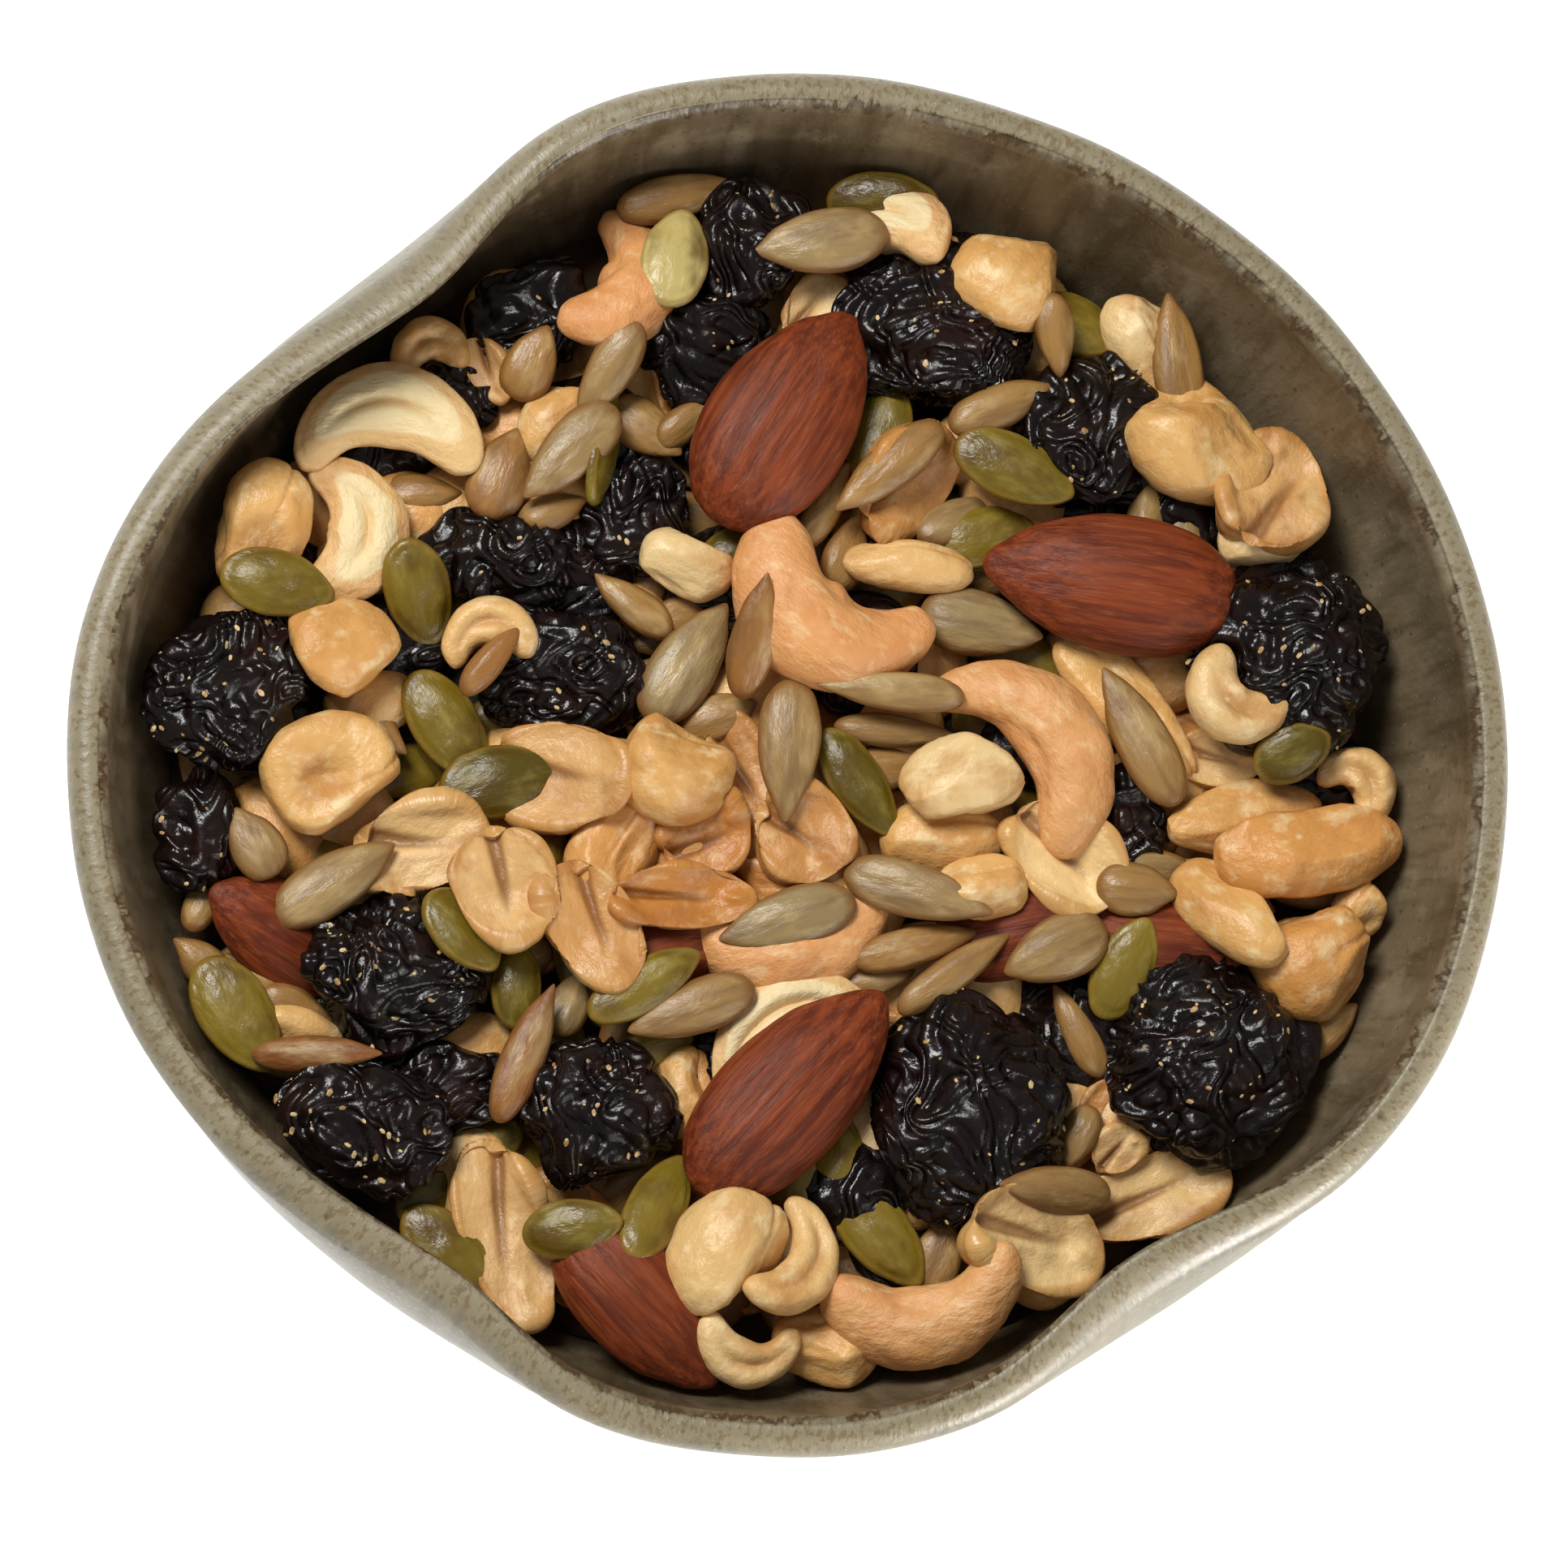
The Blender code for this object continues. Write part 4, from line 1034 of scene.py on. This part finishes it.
class Finish:
    """A material being made: its tree, its surface shader, its colour so far and the groups."""

    def __init__(self, title, groups, roughness, first, place="own_place"):
        self.material = bpy.data.materials.new(title)
        self.material.use_nodes = True
        self.tree = self.material.node_tree
        self.surface = self.tree.nodes["Principled BSDF"]
        self.surface.inputs["Roughness"].default_value = roughness
        self.groups = groups
        self.colour = first
        if place:
            self.place = attribute(self.tree, place, vector=True)
        else:
            self.place = add(self.tree, "ShaderNodeTexCoord").outputs["Object"]

    def mask(self, name, **values):
        """One of the shared groups with its own values."""
        made = add(self.tree, "ShaderNodeGroup", values, node_tree=self.groups[name])
        self.tree.links.new(self.place, made.inputs["Place"])
        return made.outputs["Mask"]

    def grain(self, lengthwise, crosswise, detail=3.0):
        return self.mask("grain", Lengthwise=lengthwise, Crosswise=crosswise, Detail=detail)

    def specks(self, spots, size):
        return self.mask("specks", Spots=spots, Size=size)

    def value(self, title):
        return attribute(self.tree, title)

    def times(self, first, second):
        return maths(self.tree, 'MULTIPLY', first, second)

    def plus(self, first, second):
        return maths(self.tree, 'ADD', first, second)

    def ramp(self, source, low, high, share=1.0):
        return ramp(self.tree, source, low, high, 0.0, share)

    def cover(self, share, over):
        """Lay a colour over those before it, by a share of 0 to 1."""
        self.colour = mix(self.tree, share, self.colour, over)

    def layer(self, source, low, high, over, share=1.0):
        """Lay a colour over those before it where the source rises from low to high."""
        self.cover(self.ramp(source, low, high, share), over)

    def bump(self, height, depth):
        """Relief too fine for the mesh, with its depth in millimetres."""
        made = add(self.tree, "ShaderNodeBump", {"Strength": 1.0, "Distance": depth * MM})
        self.tree.links.new(height, made.inputs["Height"])
        self.tree.links.new(made.outputs[0], self.surface.inputs["Normal"])

    def gloss(self, mask, dull, shiny):
        rough = ramp(self.tree, mask, 0.3, 0.7, dull, shiny)
        self.tree.links.new(rough, self.surface.inputs["Roughness"])

    def done(self):
        self.tree.links.new(self.colour, self.surface.inputs["Base Color"])
        return self.material


def almond_skin(groups):
    finish = Finish("almond_skin", groups, 0.45, "#5b210d")
    finish.surface.inputs["Specular IOR Level"].default_value = 0.28
    streaks = finish.grain(0.05, 1.1, 4.0)
    fine = finish.grain(0.25, 2.6)
    finish.layer(streaks, 0.36, 0.64, "#873b18")
    finish.layer(fine, 0.52, 0.75, "#b06a3a", 0.35)
    finish.layer(finish.grain(0.12, 0.12), 0.45, 0.75, "#4c1d0c", 0.5)
    finish.layer(finish.value("tone"), 0.0, 1.0, "#7c3a1b", 0.2)
    finish.gloss(fine, 0.44, 0.60)
    finish.bump(finish.plus(streaks, finish.times(fine, 0.35)), 0.26)
    return finish.done()


def raisin_skin(groups):
    finish = Finish("raisin_skin", groups, 0.3, "#050202")
    finish.surface.inputs["Specular IOR Level"].default_value = 0.38
    lines = finish.mask("wrinkles", Hills=0.15, Lines=34.0)
    # Painted shade: the fold troughs stay near black while the crests are lighter
    finish.layer(finish.value("mark"), 0.1, 0.9, "#100908")
    finish.layer(finish.grain(0.12, 0.12, 2.0), 0.52, 0.75, "#2c120d", 0.6)
    # Painted shade: the thin grooves of the fine wrinkles, low in the bump, stay darker than the
    # skin round them
    finish.cover(finish.times(lines, 0.3), "#20120e")
    finish.gloss(finish.grain(0.35, 0.35), 0.18, 0.36)
    finish.bump(finish.plus(lines, finish.grain(0.7, 0.7)), 0.20)
    return finish.done()


def cashew_flesh(groups):
    finish = Finish("cashew_flesh", groups, 0.42, "#eac487")
    blotch = finish.grain(0.12, 0.16)
    finish.layer(finish.value("tone"), 0.2, 1.0, "#e29f62")
    finish.layer(blotch, 0.45, 0.72, "#c57b3c", 0.55)
    finish.layer(finish.grain(0.4, 0.7), 0.52, 0.72, "#f4d5a2", 0.45)
    # The cut face is paler, its own colour; the groove in it keeps the darker flesh colour as
    # painted shade
    finish.layer(finish.value("mark"), 0.3, 0.85, "#f0d9a6")
    finish.gloss(blotch, 0.28, 0.46)
    finish.bump(finish.grain(0.5, 0.8, 6.0), 0.42)
    return finish.done()


def roasted_nut(groups):
    finish = Finish("roasted_nut", groups, 0.36, "#f0d39a")
    tone = finish.value("tone")
    blotch = finish.grain(0.12, 0.15)
    finish.layer(tone, 0.0, 0.5, "#e0ae69")
    finish.layer(tone, 0.55, 1.0, "#d9964f")
    finish.layer(blotch, 0.42, 0.70, "#bb7d36", 0.7)
    finish.layer(finish.grain(0.3, 0.4), 0.50, 0.72, "#f6deaa", 0.6)
    # Darker along the seam, the nut's own dark joint, and in the hollows of nuts and curls, which
    # is painted shade
    finish.layer(finish.value("mark"), 0.2, 1.0, "#a96c30", 0.45)
    # Painted highlights: small pale flecks spread over the nut's skin
    finish.cover(finish.times(finish.specks(0.28, 0.16), 0.5), "#fbeec8")
    finish.gloss(blotch, 0.22, 0.42)
    finish.bump(finish.grain(0.5, 0.6, 6.0), 0.36)
    return finish.done()


def split_nut(groups):
    """Golden on its round back, paler on its flat face, and brown in the crease, which is painted
    shade.
    """
    finish = Finish("split_nut", groups, 0.42, "#f0cc8e")
    tone = finish.value("tone")
    mark = finish.value("mark")
    blotch = finish.grain(0.13, 0.2)
    finish.layer(tone, 0.1, 0.8, "#c07b34")
    finish.layer(blotch, 0.45, 0.75, "#a5662f", 0.6)
    face = finish.colour
    finish.colour = "#d6a866"
    finish.layer(tone, 0.0, 1.0, "#bd7a36")
    finish.layer(blotch, 0.45, 0.72, "#99581f", 0.6)
    finish.layer(mark, 0.15, 0.85, face)
    finish.layer(finish.grain(0.3, 0.4), 0.50, 0.72, "#f1d29a", 0.4)
    # Painted shade: the crease is darkened brown
    finish.layer(mark, 1.05, 1.7, "#7c4a1e", 0.75)
    finish.gloss(blotch, 0.24, 0.42)
    finish.bump(finish.grain(0.5, 0.6, 6.0), 0.36)
    return finish.done()


def pumpkin_skin(groups):
    finish = Finish("pumpkin_seed_skin", groups, 0.34, "#4e4208")
    tone = finish.value("tone")
    veins = finish.grain(0.22, 0.6, 4.0)
    finish.layer(tone, 0.0, 0.6, "#806b1f")
    finish.layer(tone, 0.75, 1.0, "#c6b271")
    finish.layer(veins, 0.45, 0.75, "#a18f3c", 0.5)
    finish.layer(finish.grain(0.14, 0.18), 0.44, 0.68, "#553a08", 0.8)
    finish.layer(finish.value("mark"), 0.1, 1.0, "#94702a", 0.45)
    finish.gloss(veins, 0.24, 0.42)
    finish.bump(finish.grain(0.5, 0.9, 4.0), 0.18)
    return finish.done()


def sunflower_kernel(groups):
    finish = Finish("sunflower_kernel", groups, 0.42, "#978055")
    tone = finish.value("tone")
    streaks = finish.grain(0.09, 0.6, 4.0)
    finish.layer(tone, 0.1, 0.5, "#a0773f")
    finish.layer(tone, 0.6, 1.0, "#8f5424")
    finish.layer(streaks, 0.42, 0.68, "#644422", 0.5)
    finish.layer(finish.grain(0.16, 0.4), 0.48, 0.70, "#c0a470", 0.55)
    finish.layer(finish.value("mark"), 0.1, 1.0, "#7d4f22", 0.7)
    finish.gloss(streaks, 0.28, 0.48)
    finish.bump(finish.plus(streaks, finish.grain(0.5, 1.2, 4.0)), 0.16)
    return finish.done()


def bowl_glaze(groups):
    """Grey-green glaze, mottled on the crown and broken to brown along its inner edge."""
    finish = Finish("stoneware_glaze", groups, 0.4, "#6b6656", place="round_place")
    broad = finish.grain(0.05, 0.06, 4.0)
    streaks = finish.grain(0.08, 0.42, 5.0)
    fine = finish.grain(1.2, 1.7, 5.0)
    fringe = maths(finish.tree, 'SUBTRACT', finish.grain(0.35, 1.1, 5.0), 0.5)
    ragged = finish.plus(finish.value("from_crown"), finish.times(fringe, 5.0))
    finish.layer(broad, 0.3, 0.7, "#847c68")
    finish.layer(streaks, 0.45, 0.75, "#5c5546", 0.5)
    finish.layer(fine, 0.5, 0.72, "#a39b85", 0.45)
    outside = finish.colour
    finish.colour = "#5d503c"
    finish.layer(broad, 0.35, 0.65, "#7c6d55")
    finish.layer(streaks, 0.42, 0.7, "#4c3d26", 0.65)
    finish.layer(finish.grain(0.14, 0.2, 4.0), 0.52, 0.72, "#978871", 0.5)
    finish.layer(ragged, -2.4, -1.2, outside)
    crown = finish.times(finish.ramp(ragged, -1.8, -0.6), finish.ramp(ragged, 3.2, 1.2))
    finish.cover(finish.times(crown, 0.7), "#958a6e")
    finish.cover(finish.times(crown, finish.ramp(fine, 0.48, 0.62, 0.7)), "#6f5a38")
    edge = finish.times(finish.ramp(ragged, -2.5, -1.8), finish.ramp(ragged, -0.9, -1.5))
    edge = finish.times(edge, finish.ramp(finish.grain(0.3, 0.3, 4.0), 0.40, 0.56))
    finish.cover(finish.times(edge, 0.95), "#4a3720")
    finish.cover(finish.times(finish.specks(0.5, 0.2), 0.7), "#453626")
    finish.cover(finish.times(finish.specks(0.9, 0.13), 0.5), "#c9c3b0")
    finish.gloss(broad, 0.26, 0.44)
    finish.bump(finish.plus(broad, finish.times(fine, 0.3)), 0.28)
    return finish.done()


def clouded(groups, title, roughness, scale, detail, first, over):
    """A plain finish clouded with a second colour, for crumbs and for the bed of the heap, whose
    near-black colours are painted shade.
    """
    finish = Finish(title, groups, roughness, first, place=None)
    cloud = add(finish.tree, "ShaderNodeTexNoise", {"Scale": scale, "Detail": detail})
    finish.tree.links.new(finish.place, cloud.inputs["Vector"])
    finish.layer(cloud.outputs[0], 0.4, 0.65, over)
    return finish.done()


# The bowl and what lies deepest in it

def bowl_section():
    """Half section from the crown outwards, round the foot, and up inside to the crown."""
    def lip_arc(first, last):
        arc = []
        for step in range(LIP_STEPS + 1):
            turn = math.radians(first + (last - first) * step / LIP_STEPS)
            radius = RIM_RADIUS - LIP / 2.0 * (1.0 - math.cos(turn))
            arc.append((radius, HEIGHT - LIP / 2.0 * (1.0 - math.sin(turn))))
        return arc

    outer_heights = [*np.arange(WALL_TOP, OUTER_FOOT, -WALL_STEP), OUTER_FOOT]
    inner_heights = np.arange(INNER_FOOT, WALL_TOP, WALL_STEP)
    outer = [(float(outer_radius(z)), float(z)) for z in outer_heights]
    foot = [
        (FOOT_RADIUS, FOOT_EDGE),
        (FOOT_RADIUS - FOOT_EDGE, 0.0),
        (FOOT_RECESS_RADIUS + FOOT_INNER_SLOPE, 0.0),
        (FOOT_RECESS_RADIUS, FOOT_RECESS_DEPTH),
    ]
    inner = [(float(inner_radius(z)), float(z)) for z in inner_heights]
    rise = [(FLOOR_RADIUS, FLOOR + FLOOR_RISE)]
    return lip_arc(90.0, 0.0) + outer + foot, rise + inner + lip_arc(180.0, 90.0)[:-1]


def make_bowl(middle, material):
    """The bowl again with a fine net, and how far each point is from its crown."""
    outside, inside = bowl_section()
    section = outside + [(0.0, FOOT_RECESS_DEPTH), (0.0, FLOOR)] + inside
    steps = [0.0]
    for (r0, z0), (r1, z1) in zip(section, section[1:] + section[:1]):
        steps.append(steps[-1] + math.hypot(r1 - r0, z1 - z0))
    total = steps[-1]
    spin = np.arange(BOWL_SEGMENTS) * 2.0 * math.pi / BOWL_SEGMENTS
    points, from_crown, round_place, index = [], [], [], []
    for (radius, z), reach in zip(section, steps):
        signed = reach if reach < total / 2.0 else reach - total
        if radius == 0.0:
            index.append(len(points))
            points.append((0.0, 0.0, z))
            from_crown.append(signed)
            round_place.append((signed, 0.0, 0.0))
            continue
        index.append(np.arange(BOWL_SEGMENTS) + len(points))
        for turn in spin:
            points.append((radius * math.cos(turn), radius * math.sin(turn), z))
            from_crown.append(signed)
            round_place.append((signed, RIM_RADIUS * math.cos(turn), RIM_RADIUS * math.sin(turn)))
    faces = []
    for lower, upper in zip(index, index[1:] + index[:1]):
        for step in range(BOWL_SEGMENTS):
            after = (step + 1) % BOWL_SEGMENTS
            if isinstance(lower, int) and isinstance(upper, int):
                break
            if isinstance(upper, int):
                faces.append((lower[step], upper, lower[after]))
            elif isinstance(lower, int):
                faces.append((lower, upper[step], upper[after]))
            else:
                faces.append((lower[step], upper[step], upper[after], lower[after]))
    points = press_plan(np.array(points))
    radius = np.maximum(np.hypot(points[:, 0], points[:, 1]), 1e-9)
    above_foot = np.clip((points[:, 2] - 6.0) / 10.0, 0.0, 1.0)
    dent = BOWL_SINK + DENT_DEPTH * (1.0 + noise(points / DENT_SPREAD, 81)) * above_foot
    outer = np.array(from_crown) > -1.0
    scale = np.where(outer, 1.0 - dent / radius, 1.0)
    points[:, 0] *= scale
    points[:, 1] *= scale
    attributes = {"from_crown": np.array(from_crown), "round_place": np.array(round_place)}
    faces = [tuple(int(corner) for corner in face) for face in faces]
    bowl = make_mesh("bowl_body", points - middle, faces, material, attributes)
    outward(bowl.data)
    return bowl


def outward(mesh):
    """Turn every face of a closed mesh to the outside."""
    solid = bmesh.new()
    solid.from_mesh(mesh)
    bmesh.ops.recalc_face_normals(solid, faces=solid.faces)
    if solid.calc_volume(signed=True) < 0.0:
        bmesh.ops.reverse_faces(solid, faces=solid.faces)
    solid.to_mesh(mesh)
    solid.free()


def make_core(middle, material):
    """What fills the bowl below the pieces: a dark uneven bed inside the wall, its darkness painted
    shade for the gaps between the pieces.
    """
    rings = []
    top = EDGE_LEVEL - INNER_CORE_DROP
    for share in CORE_RINGS:
        reach = float(inner_radius(top)) * share
        rings.append((reach, float(heap_level(reach, 0.0)) - INNER_CORE_DROP))
    rings.append((float(inner_radius(top)) - HEAP_GAP, top))
    for z in np.arange(top - 3.0, CORE_LOWEST, -CORE_STEP):
        rings.append((float(inner_radius(z)) - HEAP_GAP, float(z) + HEAP_GAP))
    rings.append((FLOOR_RADIUS, FLOOR + FLOOR_RISE + HEAP_GAP))
    around = CORE_SEGMENTS
    spin = np.arange(around) * 2.0 * math.pi / around
    points = [(0.0, 0.0, EDGE_LEVEL + MOUND - INNER_CORE_DROP)]
    for radius, z in rings:
        points += [(radius * math.cos(turn), radius * math.sin(turn), z) for turn in spin]
    points.append((0.0, 0.0, FLOOR + HEAP_GAP))
    faces = []
    last = 1 + (len(rings) - 1) * around
    for step in range(around):
        after = (step + 1) % around
        faces.append((0, 1 + step, 1 + after))
        faces.append((len(points) - 1, last + after, last + step))
        for ring in range(len(rings) - 1):
            start = 1 + ring * around
            below = start + around
            faces.append((start + step, below + step, below + after, start + after))
    core = make_mesh("heap_bed", press_plan(np.array(points)) - middle, faces, material, {})
    outward(core.data)
    return core


# Crumbs, scattered by Geometry Nodes

def crumb_tree(title, material):
    """Flakes set on points that carry a facing direction and a size."""
    tree = bpy.data.node_groups.new(title, 'GeometryNodeTree')
    tree.interface.new_socket(name="Geometry", in_out='INPUT', socket_type='NodeSocketGeometry')
    for name, value in CRUMB_SHAPE.items():
        socket = tree.interface.new_socket(name=name, in_out='INPUT', socket_type='NodeSocketFloat')
        socket.default_value = value
    tree.interface.new_socket(name="Geometry", in_out='OUTPUT', socket_type='NodeSocketGeometry')
    enter = add(tree, "NodeGroupInput")
    leave = add(tree, "NodeGroupOutput")
    flake = add(tree, "GeometryNodeMeshIcoSphere", {"Radius": 0.5, "Subdivisions": 1})
    shape = add(tree, "ShaderNodeCombineXYZ")
    for axis, name in enumerate(CRUMB_SHAPE):
        tree.links.new(enter.outputs[name], shape.inputs[axis])
    flatten = add(tree, "GeometryNodeTransform")
    tree.links.new(flake.outputs["Mesh"], flatten.inputs["Geometry"])
    tree.links.new(shape.outputs[0], flatten.inputs["Scale"])
    named = "GeometryNodeInputNamedAttribute"
    facing = add(tree, named, {"Name": "facing"}, data_type='FLOAT_VECTOR')
    size = add(tree, named, {"Name": "flake_size"}, data_type='FLOAT')
    lay = add(tree, "FunctionNodeAlignRotationToVector", axis='Z')
    tree.links.new(facing.outputs[0], lay.inputs["Vector"])
    spin = add(tree, "FunctionNodeRandomValue", data_type='FLOAT')
    spin.inputs["Min"].default_value = 0.0
    spin.inputs["Max"].default_value = 2.0 * math.pi
    spin.inputs["Seed"].default_value = CRUMB_TURN_SEED
    about = add(tree, "ShaderNodeCombineXYZ")
    tree.links.new(spin.outputs["Value"], about.inputs[2])
    turned = add(tree, "FunctionNodeRotateRotation", rotation_space='LOCAL')
    tree.links.new(lay.outputs[0], turned.inputs[0])
    tree.links.new(about.outputs[0], turned.inputs[1])
    place = add(tree, "GeometryNodeInstanceOnPoints")
    tree.links.new(enter.outputs["Geometry"], place.inputs["Points"])
    tree.links.new(flatten.outputs[0], place.inputs["Instance"])
    tree.links.new(turned.outputs[0], place.inputs["Rotation"])
    tree.links.new(size.outputs[0], place.inputs["Scale"])
    realize = add(tree, "GeometryNodeRealizeInstances")
    tree.links.new(place.outputs[0], realize.inputs[0])
    paint = add(tree, "GeometryNodeSetMaterial", {"Material": material})
    tree.links.new(realize.outputs[0], paint.inputs[0])
    tree.links.new(paint.outputs[0], leave.inputs[0])
    return tree


def scatter_crumbs(name, carrier, material):
    """Crumbs on the upper side of a mesh, made by a tree of nodes and kept as plain mesh."""
    chance = np.random.default_rng(CRUMB_SEED)
    mesh = carrier.data
    places = np.empty(len(mesh.vertices) * 3, np.float32)
    facing = np.empty(len(mesh.vertices) * 3, np.float32)
    mesh.vertices.foreach_get("co", places)
    mesh.vertices.foreach_get("normal", facing)
    places = places.reshape(-1, 3)
    facing = facing.reshape(-1, 3)
    shown = np.flatnonzero((facing[:, 2] > CRUMB_UPWARD) & (places[:, 2] > CRUMB_LOWEST * MM))
    picked = chance.choice(shown, CRUMBS, replace=False)
    points = bpy.data.meshes.new(name + "_points")
    points.from_pydata(places[picked].tolist(), [], [])
    layer = points.attributes.new("facing", 'FLOAT_VECTOR', 'POINT')
    layer.data.foreach_set("vector", facing[picked].ravel())
    layer = points.attributes.new("flake_size", 'FLOAT', 'POINT')
    sizes = chance.uniform(*CRUMB_SIZES, CRUMBS) * MM
    layer.data.foreach_set("value", sizes.astype(np.float32))
    obj = bpy.data.objects.new(name, points)
    bpy.context.scene.collection.objects.link(obj)
    tree = crumb_tree(name + "_tree", material)
    scatter = obj.modifiers.new("scatter", 'NODES')
    scatter.node_group = tree
    for item in tree.interface.items_tree:
        if item.in_out == 'INPUT' and item.name in CRUMB_SHAPE:
            scatter[item.identifier] = CRUMB_SHAPE[item.name]
    graph = bpy.context.evaluated_depsgraph_get()
    made = bpy.data.meshes.new_from_object(obj.evaluated_get(graph))
    obj.modifiers.clear()
    obj.data = made
    return obj


# Floor, lights and camera

def make_floor():
    material = bpy.data.materials.new("pale_floor")
    material.use_nodes = True
    surface = material.node_tree.nodes["Principled BSDF"]
    surface.inputs["Base Color"].default_value = colour("#f7f7f5")
    surface.inputs["Roughness"].default_value = 0.9
    surface.inputs["Emission Color"].default_value = colour("#ffffff")
    surface.inputs["Emission Strength"].default_value = FLOOR_GLOW
    signs = ((-1.0, -1.0), (1.0, -1.0), (1.0, 1.0), (-1.0, 1.0))
    corners = np.array([(x * FLOOR_HALF, y * FLOOR_HALF, -FLOOR_DROP) for x, y in signs])
    return make_mesh("floor", corners, [(0, 1, 2, 3)], material, {})


def add_light(name, place, size, power, warmth):
    """A soft square lamp pointed at the bowl."""
    data = bpy.data.lights.new(name, 'AREA')
    data.size = size
    data.energy = power
    data.color = warmth
    lamp = bpy.data.objects.new(name, data)
    lamp.location = place
    lamp.rotation_mode = 'QUATERNION'
    lamp.rotation_quaternion = (Vector(place) - Vector(LAMP_AIM)).to_track_quat('Z', 'Y')
    bpy.context.scene.collection.objects.link(lamp)


def add_camera(middle):
    target = Vector((-LAYOUT_ORIGIN[0], -LAYOUT_ORIGIN[1], HEIGHT)) - Vector(middle)
    lean = (math.tan(math.radians(LEAN_X)), math.tan(math.radians(LEAN_Y)))
    back = Vector((-lean[0], -lean[1], 1.0)).normalized()
    upward = Vector((0.0, 1.0, 0.0))
    up = (upward - back * upward.dot(back)).normalized()
    right = up.cross(back)
    data = bpy.data.cameras.new("camera")
    data.sensor_width = SENSOR
    data.lens = FOCAL_PIXELS / PICTURE * SENSOR
    data.shift_x = (PICTURE / 2.0 - TARGET_PIXEL[0]) / PICTURE
    data.shift_y = (TARGET_PIXEL[1] - PICTURE / 2.0) / PICTURE
    data.clip_start = 0.01
    data.clip_end = 20.0
    camera = bpy.data.objects.new("camera", data)
    turn = Matrix((right, up, back)).transposed()
    camera.matrix_world = Matrix.Translation((target + back * DISTANCE) * MM) @ turn.to_4x4()
    bpy.context.scene.collection.objects.link(camera)
    bpy.context.scene.camera = camera


def light_scene():
    world = bpy.data.worlds.new("studio")
    world.use_nodes = True
    sky = world.node_tree.nodes["Background"]
    sky.inputs["Color"].default_value = (1.0, 1.0, 1.0, 1.0)
    sky.inputs["Strength"].default_value = SKY
    bpy.context.scene.world = world
    bpy.context.scene.view_settings.view_transform = 'Standard'
    for lamp in LAMPS:
        add_light(*lamp)


def main():
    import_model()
    groups = {"grain": grain_group(), "specks": speck_group(), "wrinkles": wrinkle_group()}
    middle = solid_middle()
    laid = laid_pieces()
    finishes = {
        "almond": almond_skin,
        "raisin": raisin_skin,
        "cashew": cashew_flesh,
        "curl": roasted_nut,
        "nut": roasted_nut,
        "split": split_nut,
        "pumpkin": pumpkin_skin,
        "sunflower": sunflower_kernel,
    }
    bowl = make_bowl(middle, bowl_glaze(groups))
    # Painted shade: the bed below the pieces is near black, standing in for the shade in the gaps
    # of the heap
    deep = clouded(groups, "heap_bed_painted_shade", 0.8, 160.0, 4.0, "#160d07", "#4a2f19")
    food = [make_core(middle, deep)]
    made = {}
    materials = {}
    for kind, finish in finishes.items():
        if finish not in materials:
            materials[finish] = finish(groups)
        made[kind] = make_kind(kind, laid, middle, materials[finish])
        food.append(made[kind])
    flakes = clouded(groups, "pale_crumbs", 0.6, 900.0, 2.0, "#d9bc86", "#9c7442")
    food.append(scatter_crumbs("raisin_crumbs", made["raisin"], flakes))
    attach(bowl, "root")
    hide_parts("bowl")
    for piece in food:
        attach(piece, "root")
        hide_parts("trail_mix")
    floor = make_floor()
    light_scene()
    add_camera(middle)


main()
